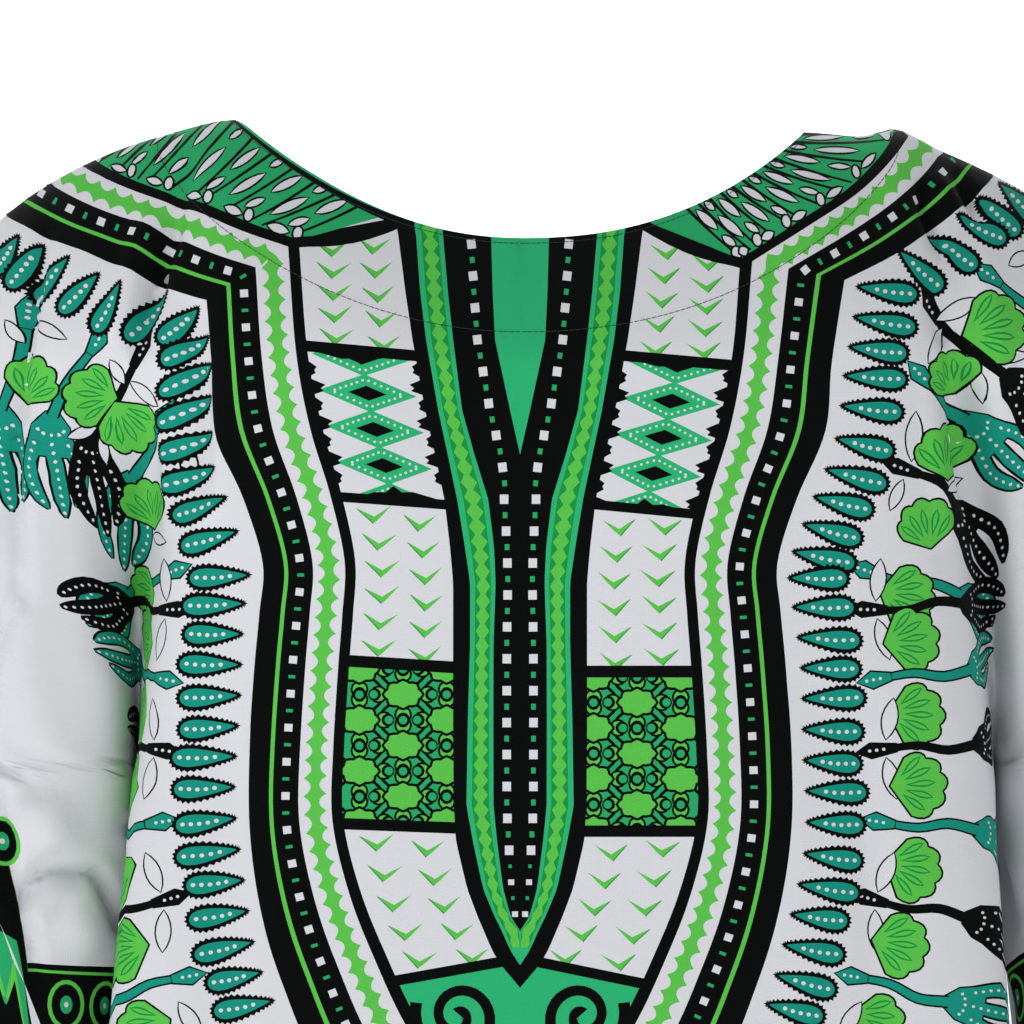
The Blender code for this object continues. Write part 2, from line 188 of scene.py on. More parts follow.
def section(face, z, part, fineness=1):
    """Smooth curve through the stations, sampled at the mesh columns."""
    p = stations(face, z, part)
    toward = -1.0 if face == "back" else 1.0
    steps = {"chest": STATION_STEPS[::-1] + STATION_STEPS,
             "body": STATION_STEPS[2::-1] + STATION_STEPS[:3],
             "left": STATION_STEPS[:2:-1],
             "right": STATION_STEPS[3:]}[part]
    chord = np.linalg.norm(np.diff(p, axis=0), axis=1)
    arrive = np.zeros(p.shape)
    for k in range(1, len(p) - 1):
        a, b = chord[k - 1], chord[k]
        arrive[k] = (b * (p[k] - p[k - 1]) / a + a * (p[k + 1] - p[k]) / b) / (a + b)
    arrive[-1] = (0.0, -toward)
    leave = arrive.copy()
    leave[0] = (0.0, toward)
    if part == "chest":
        # the trough between body and sleeve closes to a slit at the underarm
        close = np.clip((YOKE_Z - z) / (YOKE_Z - UNDERARM_Z), 0, 1) ** 3
        for k in (3, 9):
            arrive[k] = arrive[k] * (1 - close) + np.array((0.0, -toward)) * close
            leave[k] = leave[k] * (1 - close) + np.array((0.0, toward)) * close
    curve = [p[:1]]
    for k, count in enumerate(steps):
        t = (np.arange(count * fineness) + 1)[:, None] / (count * fineness)
        curve.append((1 + 2 * t) * (1 - t) ** 2 * p[k] + t * (1 - t) ** 2 * chord[k] * leave[k]
                     + t * t * (3 - 2 * t) * p[k + 1] - t * t * (1 - t) * chord[k] * arrive[k + 1])
    return np.vstack(curve)


def ridge_height(x):
    """Height of the shoulder line at x."""
    out = np.zeros(len(x))
    for side, on in (("left", x < 0), ("right", x >= 0)):
        table = np.array(RIDGE[side]) * MM
        out[on] = smooth_table(-table[:, 0], table[:, 1], -np.abs(x[on]))
    return out


def neck_height(face, x):
    """Height of the neckline at x."""
    shape = NECKLINE[face]
    share = np.clip(np.abs(x) / NECK_HALF, 0, 1) ** np.where(x < 0, shape["left"], shape["right"])
    ends = ridge_height(np.sign(x) * NECK_HALF)
    return -shape["drop"] * (1 - share) ** 0.95 + ends * share


def surface(face, x, z):
    """Depth of the yoke and chest at x and z, as a height over the shoulder line."""
    toward = -1.0 if face == "back" else 1.0
    shape = NECKLINE[face]
    base = section(face, YOKE_Z, "chest", 6)
    crest = ridge_height(x)
    fall = np.clip((crest - z) / np.maximum(crest - YOKE_Z, 1e-6), 0, 1)
    blend = np.clip(np.abs(x) / NECK_HALF, 0, 1)
    square = shape["centre_square"] + (shape["point_square"] - shape["centre_square"]) * blend ** 2
    full = np.interp(x, base[:, 0], base[:, 1])
    y = full * (1 - (1 - fall) ** square) ** (1 / square)
    for k in np.nonzero(z < YOKE_Z)[0]:
        row = section(face, z[k], "chest", 2)
        y[k] = np.interp(x[k], row[:, 0], row[:, 1])
    seam = toward * SEAM_GAP / 2
    return np.where(np.abs(y) < abs(seam), seam, y)


# ---------------------------------------------------------------- flat coordinates of a panel

SIGNS = {"left": -1, "right": 1}
OUTER_END = {"left": 0, "right": -1}
CLOTH = 0.0009
FINE = 4
TOP_Z = 0.012
ROW_STEP = 0.002
LOW_ROW_STEP = 0.006
SLIT_FLARE = 0.12
# The print past the folds follows the cloth above these heights and runs on flat below them
RUN_ON_Z, RUN_ON_HEIGHT = -0.25, 0.11
# Millimetres: reach of the slopes, depth of the shoulder line's turn, crease-free strip under it
SLOPE_STEP = 2.5
TURN_DEPTH = 6
CREASE_FREE = 14
# Middle of the view, on the back's plane, and the camera's distance from it
VIEW_X, VIEW_Z, VIEW_PLANE, VIEW_DISTANCE = -0.0038, -0.182, 0.110, 3.0


def unit(n):
    return n / np.maximum(np.linalg.norm(n, axis=1, keepdims=True), 1e-12)


class Panel:
    """Back or front: turns flat u, v into points on the worn cloth."""

    def __init__(self, face):
        self.face = face
        self.toward = -1.0 if face == "back" else 1.0
        yoke = np.arange(TOP_Z, YOKE_Z - 1e-9, -ROW_STEP)
        below = np.append(np.arange(YOKE_Z, UNDERARM_Z - 1e-9, -ROW_STEP), UNDERARM_Z)
        self.top = [(z, *self.yoke_row(z)) for z in yoke]
        self.top += [(z, *self.section_row(z, "chest")) for z in below]
        low = np.append(np.arange(UNDERARM_Z, HEM_Z + 1e-9, -LOW_ROW_STEP), HEM_Z)
        self.body = [(z, *self.section_row(z, "body")) for z in low]
        arm = np.append(np.arange(UNDERARM_Z, CUFF_INNER_Z - 0.004, -LOW_ROW_STEP), CUFF_INNER_Z - 0.01)
        self.sleeve = {}
        for side in SIGNS:
            rows = []
            for z in arm:
                u, x, y = self.section_row(z, side)
                slit = self.slit(z, side)
                u = u - (u[-1] if side == "left" else u[0]) + slit
                rows.append((z, u, x, y))
            self.sleeve[side] = rows
        table = np.array(CREASES[face], float)
        high = table[:, (1, 3)].max(axis=1) < -UNDERARM_Z / MM
        for k in (0, 2):
            table[high, k:k + 2] = self.spread(table[high, k:k + 2], 0.0)
        self.creases = table
        self.crest = np.vstack((self.ridge_line("left")[::-1], self.ridge_line("right")))

    def follow(self, x, y, weight):
        """Flat distance along a section: sideways distance at the middle, length past the folds."""
        step = np.sqrt(np.diff(x) ** 2 + weight * np.diff(y) ** 2)
        u = np.concatenate(([0.0], np.cumsum(step)))
        return u - np.interp(0.0, x, u) if x[0] < 0 < x[-1] else u

    def yoke_row(self, z):
        ends = []
        for side in SIGNS:
            table = np.array(RIDGE[side]) * MM
            x = np.linspace(NECK_HALF, table[-1, 0], 400)
            high = ridge_height(SIGNS[side] * x) >= z
            ends.append(x[high][-1] if high.any() else NECK_HALF)
        s = np.sin(np.linspace(-np.pi / 2, np.pi / 2, 161))
        x = np.where(s < 0, s * ends[0], s * ends[1])
        y = surface(self.face, x, np.full(len(x), z))
        folds = {side: SECTIONS[self.face, side][0] for side in SIGNS}
        edge = np.where(x[:-1] < 0, folds["left"][4], folds["right"][4]) * MM
        chest = np.where(x[:-1] < 0, folds["left"][2], folds["right"][2]) * MM
        weight = np.clip((np.abs(x[:-1]) - chest) / (edge - chest) * 2 - 1, 0, 1)
        return self.follow(x, y, weight), x, y

    def section_row(self, z, part):
        p = section(self.face, z, part, FINE)
        if part in ("left", "right"):
            return self.follow(p[:, 0], p[:, 1], 1.0), p[:, 0], p[:, 1]
        half = len(p) // 2
        column = np.abs(np.arange(len(p) - 1) + 0.5 - half) / FINE
        chest, edge = STATION_STEPS[0], sum(STATION_STEPS[:2])
        weight = np.clip((column - chest) / (edge - chest) * 2 - 1, 0, 1)
        u = self.follow(p[:, 0], p[:, 1], weight)
        return u - u[half], p[:, 0], p[:, 1]

    def slit(self, z, side):
        """Flat place of the sleeve's side of the cut between body and sleeve."""
        heights = np.array([row[0] for row in self.body])
        ends = np.array([row[1][OUTER_END[side]] for row in self.body])
        return np.interp(-z, -heights, ends) + SIGNS[side] * (UNDERARM_Z - z) * SLIT_FLARE

    def span(self, rows, u, v):
        """Points of a stack of rows at u, v in metres."""
        z = -v
        heights = np.array([row[0] for row in rows])
        k = np.clip(np.searchsorted(-heights, v, side="right") - 1, 0, len(rows) - 2)
        x, y = np.zeros(len(u)), np.zeros(len(u))
        for row in np.unique(k):
            on = k == row
            (z0, u0, x0, y0), (z1, u1, x1, y1) = rows[row], rows[row + 1]
            t = np.clip((z0 - z[on]) / (z0 - z1), 0, 1)
            # where the row above ends short of the shoulder line, the row below serves alone
            t = np.where((u[on] < u0[0]) | (u[on] > u0[-1]), 1.0, t)
            x[on] = np.interp(u[on], u0, x0) * (1 - t) + np.interp(u[on], u1, x1) * t
            y[on] = np.interp(u[on], u0, y0) * (1 - t) + np.interp(u[on], u1, y1) * t
        return x, y, z

    def base(self, flat):
        """Points in metres of the uncreased cloth at flat u, v in millimetres."""
        u, v = flat[:, 0] * MM, flat[:, 1] * MM
        out = np.zeros((len(u), 3))
        high = v <= -UNDERARM_Z
        if high.any():
            x, y, z = self.span(self.top, u[high], v[high])
            yoke = z > YOKE_Z
            if yoke.any():
                y[yoke] = surface(self.face, x[yoke], z[yoke])
            out[high] = np.column_stack((x, y, z))
        cut = {side: self.slit(-v, side) for side in SIGNS}
        lean = (v + UNDERARM_Z) * SLIT_FLARE / 2
        left = ~high & (u < cut["left"] + lean)
        right = ~high & (u > cut["right"] - lean)
        for on, rows in ((left, self.sleeve["left"]), (right, self.sleeve["right"]),
                         (~high & ~left & ~right, self.body)):
            if on.any():
                out[on] = np.column_stack(self.span(rows, u[on], v[on]))
        return out

    def spread(self, seen, run_on=1.0):
        """Flat place of points given as seen from straight behind, in millimetres."""
        rows = self.top + self.body[1:]
        heights = -np.array([row[0] for row in rows])
        folds = {side: np.array(SECTIONS[self.face, side], float)[:, (0, 4)] * MM for side in SIGNS}
        h, v = seen[:, 0] * MM, seen[:, 1] * MM
        x, z = h.copy(), -v
        u = np.empty(len(x))
        for turn in range(3):
            k = np.clip(np.searchsorted(heights, -z), 0, len(rows) - 1)
            order = np.argsort(k, kind="stable")
            starts = np.searchsorted(k[order], np.arange(len(rows) + 1))
            depth = np.zeros(len(x))
            for row, (_, flat_u, flat_x, flat_y) in enumerate(rows):
                on = order[starts[row]:starts[row + 1]]
                if not len(on):
                    continue
                # only what faces the viewer, between the outermost points
                shown = slice(int(np.argmin(flat_x)), int(np.argmax(flat_x)) + 1)
                flat_u, flat_x, flat_y = flat_u[shown], flat_x[shown], flat_y[shown]
                if turn < 2:
                    depth[on] = np.abs(np.interp(x[on], flat_x, flat_y, 0.0, 0.0))
                    continue
                # past the folds low on the body, the print runs on flat into the trough
                edge = [np.interp(-z[on], -folds[side][:, 0], folds[side][:, 1]) for side in SIGNS]
                seen_u = np.interp(x[on], flat_x, flat_u)
                ends = flat_u[0] - flat_x[0], flat_u[-1] - flat_x[-1]
                seen_u = np.where(x[on] < flat_x[0], x[on] + ends[0], seen_u)
                seen_u = np.where(x[on] > flat_x[-1], x[on] + ends[1], seen_u)
                held = np.clip(x[on], -edge[0], edge[1])
                run_u = np.interp(held, flat_x, flat_u) + x[on] - held
                share = np.clip((z[on] - RUN_ON_Z) / RUN_ON_HEIGHT, 1 - run_on, 1)
                u[on] = seen_u * share + run_u * (1 - share)
            if turn < 2:
                far = 1 + (VIEW_PLANE - depth) / VIEW_DISTANCE
                x = VIEW_X + (h - VIEW_X) * far
                z = VIEW_Z + (-v - VIEW_Z) * far
        return np.column_stack((u, -z)) / MM

    def place(self, flat, inset=0.0):
        """Points and outward normals of the creased cloth."""
        steps = np.eye(2) * SLOPE_STEP
        bu, bv = (self.base(flat + step) - self.base(flat - step) for step in steps)
        n = self.turn_up(flat, unit(np.cross(bu, bv) * self.toward))
        cu, cv = (self.crease(flat + step) - self.crease(flat - step) for step in steps)
        turned = np.cross(bu + n * cu[:, None], bv + n * cv[:, None]) * self.toward
        return self.base(flat) + n * (self.crease(flat) - inset)[:, None], self.turn_up(flat, unit(turned))

    def turn_up(self, flat, n):
        """Normals that come round to straight up at the shoulder line."""
        near = flat[:, 1] - np.interp(flat[:, 0], self.crest[:, 0], self.crest[:, 1])
        share = np.clip(1.15 - near / TURN_DEPTH, 0, 1)
        share = np.where(np.abs(flat[:, 0]) < NECK_HALF / MM - 1, 0.0, share)[:, None]
        return unit(n * (1 - share) + np.array((0, self.toward * 0.05, 1.0)) * share)

    def crease(self, flat):
        """Height of the creases over the smooth form, metres."""
        h = np.zeros(len(flat))
        for u0, v0, u1, v1, width, depth in self.creases:
            a, b = np.array((u0, v0)), np.array((u1, v1))
            along = ((flat - a) @ (b - a)) / ((b - a) @ (b - a))
            t = np.clip(along, 0, 1)
            off = np.linalg.norm(flat - (a + t[:, None] * (b - a)), axis=1)
            fade = np.sin(np.pi * np.clip(0.08 + 0.84 * along, 0, 1)) ** 0.6
            h += depth * MM * fade * np.exp(-(off / width) ** 2)
        # the shoulder seam stays where it is
        top = -ridge_height(np.clip(flat[:, 0], -240, 240) * MM) / MM
        return h * np.clip((flat[:, 1] - top - 1) / CREASE_FREE, 0, 1)

    def outline(self):
        """Flat boundary of the cut, clockwise from the left neck point, and the true seam points."""
        half = np.linspace(-1, 1, 121)
        x = NECK_HALF * np.sin(np.pi / 2 * half)
        z = neck_height(self.face, x)
        neck = np.column_stack((x, -z)) / MM
        right = self.ridge_line("right")
        left = self.ridge_line("left")[::-1]
        top_z, top_u = [], []
        for row in self.top:
            if row[0] < YOKE_Z - 1e-9:
                top_z.append(row[0])
                top_u.append((row[1][0], row[1][-1]))
        chest = np.array(top_u[::2]) / MM
        heights = -np.array(top_z[::2]) / MM
        sides, self.cuffs = {}, {}
        for k, side in enumerate(SIGNS):
            rows = self.sleeve[side]
            arm_v = np.array([-row[0] for row in rows]) / MM
            outer = np.array([row[1][OUTER_END[side]] for row in rows]) / MM
            inner = np.array([row[1][-1 if side == "left" else 0] for row in rows]) / MM
            down = np.arange(-UNDERARM_Z / MM + 4, -CUFF_OUTER_Z / MM, 5)
            cuff_v = np.linspace(-CUFF_OUTER_Z, -CUFF_INNER_Z, 41) / MM
            share = np.linspace(0, 1, 41)
            ends = np.interp(cuff_v, arm_v, outer), np.interp(cuff_v, arm_v, inner)
            cuff = np.column_stack((ends[0] * (1 - share) + ends[1] * share, cuff_v))
            up = np.arange(-CUFF_INNER_Z / MM - 5, -UNDERARM_Z / MM + 2, -5)
            sleeve = np.vstack((np.column_stack((chest[:, k], heights)),
                                np.column_stack((np.interp(down, arm_v, outer), down)), cuff,
                                np.column_stack((np.interp(up, arm_v, inner), up))))
            body_v = np.array([-row[0] for row in self.body]) / MM
            body_u = np.array([row[1][OUTER_END[side]] for row in self.body]) / MM
            seam = np.column_stack((body_u, body_v))
            sides[side] = np.vstack((sleeve, seam))
            self.cuffs[side] = cuff
        hem_u = np.linspace(sides["right"][-1, 0], sides["left"][-1, 0], 111)[1:-1]
        hem = np.column_stack((hem_u, np.full(len(hem_u), -HEM_Z / MM)))
        return np.vstack((neck, right[1:], sides["right"], hem, sides["left"][::-1], left[:-1]))

    def ridge_line(self, side):
        """Flat place of the shoulder seam."""
        last = RIDGE[side][-1][0] * MM
        x = SIGNS[side] * (NECK_HALF + (last - NECK_HALF) * np.sin(np.linspace(0, np.pi / 2, 46)))
        z = ridge_height(x)
        heights = np.array([row[0] for row in self.top])
        u = []
        for px, pz in zip(x, z):
            k = int(np.clip(np.searchsorted(-heights, -pz), 1, len(heights) - 1))
            below = self.top[k]
            u.append(np.interp(px, below[2], below[1]))
        return np.column_stack((np.array(u), -z)) / MM


# ---------------------------------------------------------------- print, drawn in millimetres

def curve(points, count):
    """Smooth open curve through points, count steps for each stretch."""
    p = np.asarray(points, float)
    q = np.vstack((2 * p[0] - p[1], p, 2 * p[-1] - p[-2]))
    t = (np.arange(count) / count)[:, None]
    out = []
    for k in range(len(p) - 1):
        a, b, c, d = q[k:k + 4]
        out.append(0.5 * (2 * b + (c - a) * t + (2 * a - 5 * b + 4 * c - d) * t ** 2
                          + (3 * b - a - 3 * c + d) * t ** 3))
    return np.vstack(out + [p[-1:]])


def run_length(path):
    """Distance along a path to each of its points."""
    return np.concatenate(([0.0], np.cumsum(np.linalg.norm(np.diff(path, axis=0), axis=1))))


def oval(centre, long, wide, turn=0.0, count=10):
    t = np.arange(count) * 2 * np.pi / count
    p = np.column_stack((np.cos(t) * long / 2, np.sin(t) * wide / 2))
    return spin(p, turn) + centre


def spin(p, turn):
    c, s = math.cos(turn), math.sin(turn)
    return np.column_stack((p[:, 0] * c - p[:, 1] * s, p[:, 0] * s + p[:, 1] * c))


def leaf(start, end, wide, count=7, belly=0.5):
    """Pointed leaf between two points."""
    a, b = np.asarray(start, float), np.asarray(end, float)
    t = np.linspace(0, 1, count)[1:-1]
    d = b - a
    n = np.array((-d[1], d[0])) / np.linalg.norm(d)
    w = np.sin(np.pi * t ** (math.log(0.5) / math.log(belly))) ** 0.85 * wide / 2
    up = a + t[:, None] * d + w[:, None] * n
    low = a + t[:, None] * d - w[:, None] * n
    return np.vstack((a[None], up, b[None], low[::-1]))


def ribbon(path, width):
    """Strip of varying width along a path."""
    p = np.asarray(path, float)
    g = np.gradient(p, axis=0)
    n = np.column_stack((-g[:, 1], g[:, 0])) / np.maximum(np.linalg.norm(g, axis=1), 1e-9)[:, None]
    w = np.broadcast_to(np.asarray(width, float), len(p))[:, None] / 2
    return np.vstack((p + n * w, (p - n * w)[::-1]))


def grow(p, by):
    """Outline moved outwards by a distance."""
    p = np.asarray(p, float)
    e = np.roll(p, -1, 0) - np.roll(p, 1, 0)
    n = np.column_stack((e[:, 1], -e[:, 0])) / np.maximum(np.linalg.norm(e, axis=1), 1e-9)[:, None]
    area = (p[:, 0] * np.roll(p[:, 1], -1) - np.roll(p[:, 0], -1) * p[:, 1]).sum()
    return p + n * by * (1 if area > 0 else -1)


def subdivided(outline, longest=6.0):
    """Outline with its long edges split, so that they follow the round cloth."""
    out = []
    for p, q in zip(outline, np.roll(outline, -1, 0)):
        parts = max(1, math.ceil(np.linalg.norm(q - p) / longest))
        out += [p + (q - p) * k / parts for k in range(parts)]
    return np.array(out)


class Print:
    """Painted shapes of one panel, later ones over earlier ones."""

    def __init__(self):
        self.side = 1.0
        self.cut = False
        self.shapes = []

    def add(self, ink, outline):
        """A shape as seen from behind, on the side being worked on, or on the flat cut."""
        if len(outline) > 2:
            outline = subdivided(np.asarray(outline, float) * (self.side, 1.0))
            self.shapes.append((ink, outline, self.cut))

    def laid(self, panel):
        """Inks and flat outlines."""
        seen = [outline for _, outline, cut in self.shapes if not cut]
        ends = np.cumsum([len(outline) for outline in seen])[:-1]
        spread = iter(np.split(panel.spread(np.vstack(seen)), ends))
        return [(ink, outline if cut else next(spread)) for ink, outline, cut in self.shapes]

    def outlined(self, ink, outline, line):
        self.add("black", grow(outline, line))
        self.add(ink, outline)


# Border of the central figure: inner and outer edge, half width h and height v, from the
# shoulder seam to the corner, then from the corner down to the centre
SHOULDER_BORDER = {
    "left": ((216, 6, 262, 33), (200, 17, 242, 43), (184, 25, 222, 53), (165, 32, 204, 60),
             (148, 37, 186, 68), (127, 46, 165, 77), (104, 54, 148, 82)),
    "right": ((196, -16, 246, 8), (181, -1, 229, 19), (169, 15, 211, 36), (154, 30, 195, 48),
              (133, 44, 176, 61), (103.5, 63, 152.5, 73)),
}
MAIN_BORDER = ((100, 106, 146.5, 112), (93, 142, 143.5, 144), (84, 173.5, 130, 176),
               (77.5, 205, 121, 206), (78.5, 230, 122.5, 229), (80.4, 255, 125, 256), (82.7, 293, 127.3, 293),
               (83.2, 326, 127.2, 330), (75.7, 358, 122, 367), (64.4, 387, 112, 402), (47, 423, 93, 446),
               (26, 450, 58, 488), (0, 461, 0, 506))
BORDER_BANDS = {"line": (0.0, 0.115), "white": (0.115, 0.462), "squares": (0.462, 0.731),
                "thread": (0.731, 0.774), "rim": (0.774, 1.0)}

# Spear down the centre: height v, then half widths of its outlines
SPEAR_COLUMNS = ("v", "outer", "green", "dotted", "heart")
SPEAR = ((40, 59.5, 51, 37.5, 14.3), (52, 57.3, 48.9, 36.2, 13.6), (78, 54, 47, 34, 12.9),
         (101, 50.6, 44.2, 31.5, 11.8), (134, 44.7, 38.5, 27.3, 4.7), (155, 40, 34, 21.5, 0),
         (176, 35.6, 29.6, 15, 0), (198, 33, 26, 12.3, 0), (215, 31.5, 23.5, 11.5, 0),
         (244, 31.5, 23.5, 12.5, 0), (282, 31.5, 24.6, 12.6, 0), (320, 31.2, 25.2, 12.5, 0),
         (337, 30.1, 22.1, 10.8, 0), (359, 24.9, 17.4, 8, 0), (372, 20, 12, 4.5, 0), (379, 17, 8.5, 0, 0),
         (388, 13.2, 4.6, 0, 0), (395, 9, 0, 0, 0), (405.6, 0, 0, 0, 0))
# Lines between the cells: height at the spear and at the border for the left side, the same for
# the right side, and the line's thickness
CELL_LINES = {"top": (46, 54, 46, 63, 5.0), "chevrons_1": (108.5, 104, 108.5, 113, 5.2),
              "diamonds": (178.5, 175, 178.5, 183, 4.6), "chevrons_2": (255, 252, 257, 257, 5.6),
              "flowers": (330.5, 328.5, 332, 332, 5.4), "chevrons_3": (393, 402.5, 393, 404, 5.0)}


def spear_half(v, name):
    return np.interp(v, [r[0] for r in SPEAR], [r[SPEAR_COLUMNS.index(name)] for r in SPEAR])


def border_rows(side):
    """Matched inner and outer edge points from the shoulder seam to the lowest point."""
    corner = SHOULDER_BORDER[side][-1]
    return np.vstack((curve(SHOULDER_BORDER[side], 5), curve((corner,) + MAIN_BORDER, 7)[1:]))


def across(rows, share):
    return rows[:, :2] * (1 - share) + rows[:, 2:] * share


def draw_border(art, side):
    rows = border_rows(side)
    for band, ink in (("line", "black"), ("white", "white"), ("squares", "black"), ("thread", "lime"),
                      ("rim", "black")):
        a, b = BORDER_BANDS[band]
        art.add(ink, np.vstack((across(rows, a), across(rows, b)[::-1])))
    # small blocks, white and green in turn
    path = across(rows, 0.5 * sum(BORDER_BANDS["squares"]))
    for k, (p, t) in enumerate(stations_along(path, 8.0, 4.0)):
        size = np.array((3.6, 3.8) if k % 2 == 0 else (1.5, 3.2))
        art.add("white" if k % 2 == 0 else "emerald", spin(BLOCK * size, math.atan2(t[1], t[0])) + p)
    # leafy ribbon with hollow scallops between its points
    a, b = BORDER_BANDS["white"]
    path = across(rows, a + 0.50 * (b - a))
    upper, lower = [], []
    for k, (p, t) in enumerate(stations_along(path, 1.4, 0.5)):
        n = np.array((-t[1], t[0]))
        upper.append(p + n * (5.3, 3.3, 2.3, 2.0, 2.4, 3.6)[k % 6])
        lower.append(p - n * (3.6, 5.3, 3.3, 2.3, 2.0, 2.4)[k % 6])
    art.add("lime", np.vstack((upper, lower[::-1])))


BLOCK = np.array(((-0.5, -0.5), (0.5, -0.5), (0.5, 0.5), (-0.5, 0.5)))


def stations_along(path, pitch, start):
    """Points and directions at even distances along a path."""
    s = run_length(path)

    def at(d):
        return np.array([np.interp(d, s, path[:, k]) for k in (0, 1)])

    out = []
    for d in np.arange(start, s[-1], pitch):
        way = at(min(d + 2.5, s[-1])) - at(max(d - 2.5, 0))
        out.append((at(d), way / max(np.linalg.norm(way), 1e-9)))
    return out


def draw_spear(art):
    table = np.array(SPEAR, float)
    v = np.linspace(table[0, 0], table[-1, 0], 90)

    def half(name, ink, last):
        keep = v <= last
        rim = np.column_stack((spear_half(v[keep], name), v[keep]))
        art.add(ink, np.vstack((rim, [(0, last)], [(0, table[0, 0])])))

    half("outer", "black", 405.6)
    half("green", "emerald_light", 395)
    # lime stripe with scalloped edges inside the green band
    rows = np.arange(42, 388, 1.75)
    inner = spear_half(rows, "dotted")
    outer = spear_half(rows, "green")
    wave = 0.5 + 0.5 * np.cos(rows * 2 * np.pi / 7.0)
    reach = np.clip((392 - rows) / 30, 0, 1)
    art.add("vein", np.vstack((np.column_stack((inner + (outer - inner) * 0.17 * reach, rows)),
                               np.column_stack((inner + (outer - inner) * 0.80, rows))[::-1])))
    near = inner + (outer - inner) * (0.40 - 0.20 * wave) * reach
    far = inner + (outer - inner) * (0.58 + 0.18 * wave)
    art.add("lime", np.vstack((np.column_stack((near, rows)), np.column_stack((far, rows))[::-1])))
    half("dotted", "black", 379)
    half("heart", "emerald_light", 155)
    for k, y in enumerate(np.arange(56, 376, 7.5)):
        outer = spear_half(y, "dotted")
        heart = spear_half(y, "heart")
        size = np.array((4.0, 4.4) if k % 2 == 0 else (2.2, 2.8))
        if y > 345:
            size *= (0.7, 0.6)
        place = (heart + (outer - heart) * (0.42 if y < 170 else 0.5), y)
        ink = "white" if k % 2 == 0 else "emerald"
        art.add(ink, spin(BLOCK * size, 0.12 if y < 170 else 0.0) + place)


def inner_half(v):
    """Half width of the central figure at a height."""
    main = curve(MAIN_BORDER, 7)
    return np.interp(v, main[:, 1], main[:, 0])


def line_at(name, h, side):
    """Height of a line between cells at a distance from the centre."""
    near, far = CELL_LINES[name][:2] if side == "left" else CELL_LINES[name][2:4]
    v = 0.5 * (near + far)
    a, b = spear_half(v, "outer"), inner_half(v)
    return near + (far - near) * np.clip((h - a) / (b - a), -0.3, 1.3)


def cell(first, last, side, wide=1.0):
    """Outline of the cell between two lines."""
    v = [0.5 * sum(CELL_LINES[name][:2] if side == "left" else CELL_LINES[name][2:4])
         for name in (first, last)]
    rows = np.linspace(v[0], v[1], 9)
    near, far = spear_half(rows, "outer") - wide, inner_half(rows) + wide
    out = []
    for h, order in ((near, 1), (far, -1)):
        share = np.linspace(0, 1, 9)
        y = line_at(first, h, side) * (1 - share) + line_at(last, h, side) * share
        out.append(np.column_stack((h, y))[::order])
    return np.vstack(out)


CHEVRON = np.array(((-0.5, -0.24), (-0.20, -0.06), (0.0, 0.07), (0.5, -0.22), (0.13, 0.15), (0.02, 0.27),
                    (-0.15, 0.12)))


def draw_chevrons(art, first, last, rows, side):
    for column, share in ((0, 0.27), (1, 0.72)):
        for k in range(rows):
            t = (k + (0.50 if column else 0.68)) / (rows + 0.15)
            guess = line_at(first, 60, side) * (1 - t) + line_at(last, 60, side) * t
            x = spear_half(guess, "outer") * (1 - share) + inner_half(guess) * share
            y = line_at(first, x, side) * (1 - t) + line_at(last, x, side) * t
            size = np.array((15.5 + (k * 3 + column) % 3, 15.5))
            mark = spin(CHEVRON * size, 0.05 * ((k + 2 * column) % 3 - 1)) + (x, y + 0.8)
            art.add("vein", np.array((mark[3] + (0.4, 0.1), mark[4] + (0.4, 0.4), mark[5] + (0.3, 0.5),
                                      mark[2])))
            art.add("lime", mark)


def draw_diamonds(art, side):
    pitch = 17.0
    top = line_at("chevrons_1", 70, side)
    bottom = line_at("diamonds", 70, side)
    skew = 1.6 if side == "left" else -1.6
    places = []
    for k in range(-1, 5):
        y = top + 19.5 + pitch * k
        near, far = spear_half(y, "outer"), inner_half(y)
        slope = 0.5 * (spear_half(y + 8, "outer") + inner_half(y + 8)
                       - spear_half(y - 8, "outer") - inner_half(y - 8))
        half = 0.5 * (far - near) - 2.4
        shape = np.array(((-half, skew), (-slope / 2, -8.8), (half, -skew), (slope / 2, 8.8)))
        places.append((shape, np.array((0.5 * (near + far) + 0.5, y))))
    for shape, c in places:
        art.add("emerald_light", shape * 1.02 + c)
    for shape, c in places:
        art.add("black", shape * 0.40 + c)
        ring = shape * 0.74
        for a, b in zip(ring, np.roll(ring, -1, 0)):
            for t in np.arange(6) / 6:
                art.add("white", oval(c + a + (b - a) * (t + 0.08), 1.4, 1.3, 0, 6))
    for k, y in enumerate(np.arange(top + 8, bottom - 2, 8.5)):
        for x, way in ((spear_half(y, "outer"), 1), (inner_half(y), -1)):
            long = 5.4 if k % 2 else 2.8
            art.add("black", np.array(((-1.5 * way, -3.9), (long * way, -1.0), (long * 0.6 * way, 0.6),
                                       (long * 0.85 * way, 2.0), (-1.5 * way, 4.1))) + (x, y))
    for y, way in ((top, 1), (bottom, -1)):
        near, far = spear_half(y, "outer"), inner_half(y)
        c = 0.5 * (near + far)
        art.add("black", np.array(((near, y - way), (c - 9, y + 3.4 * way), (c - 4, y + 3.2 * way),
                                   (c, y + 6.2 * way), (c + 4, y + 3.2 * way), (c + 9, y + 3.4 * way),
                                   (far, y - way))))


def blossom(centre, wide, high):
    """Wide flower with eight soft lobes."""
    t = np.arange(32) * 2 * np.pi / 32
    r = 0.90 + 0.08 * np.cos(8 * t) + 0.04 * np.cos(2 * t)
    return np.column_stack((r * np.cos(t) * wide / 2, r * np.sin(t) * high / 2)) + centre


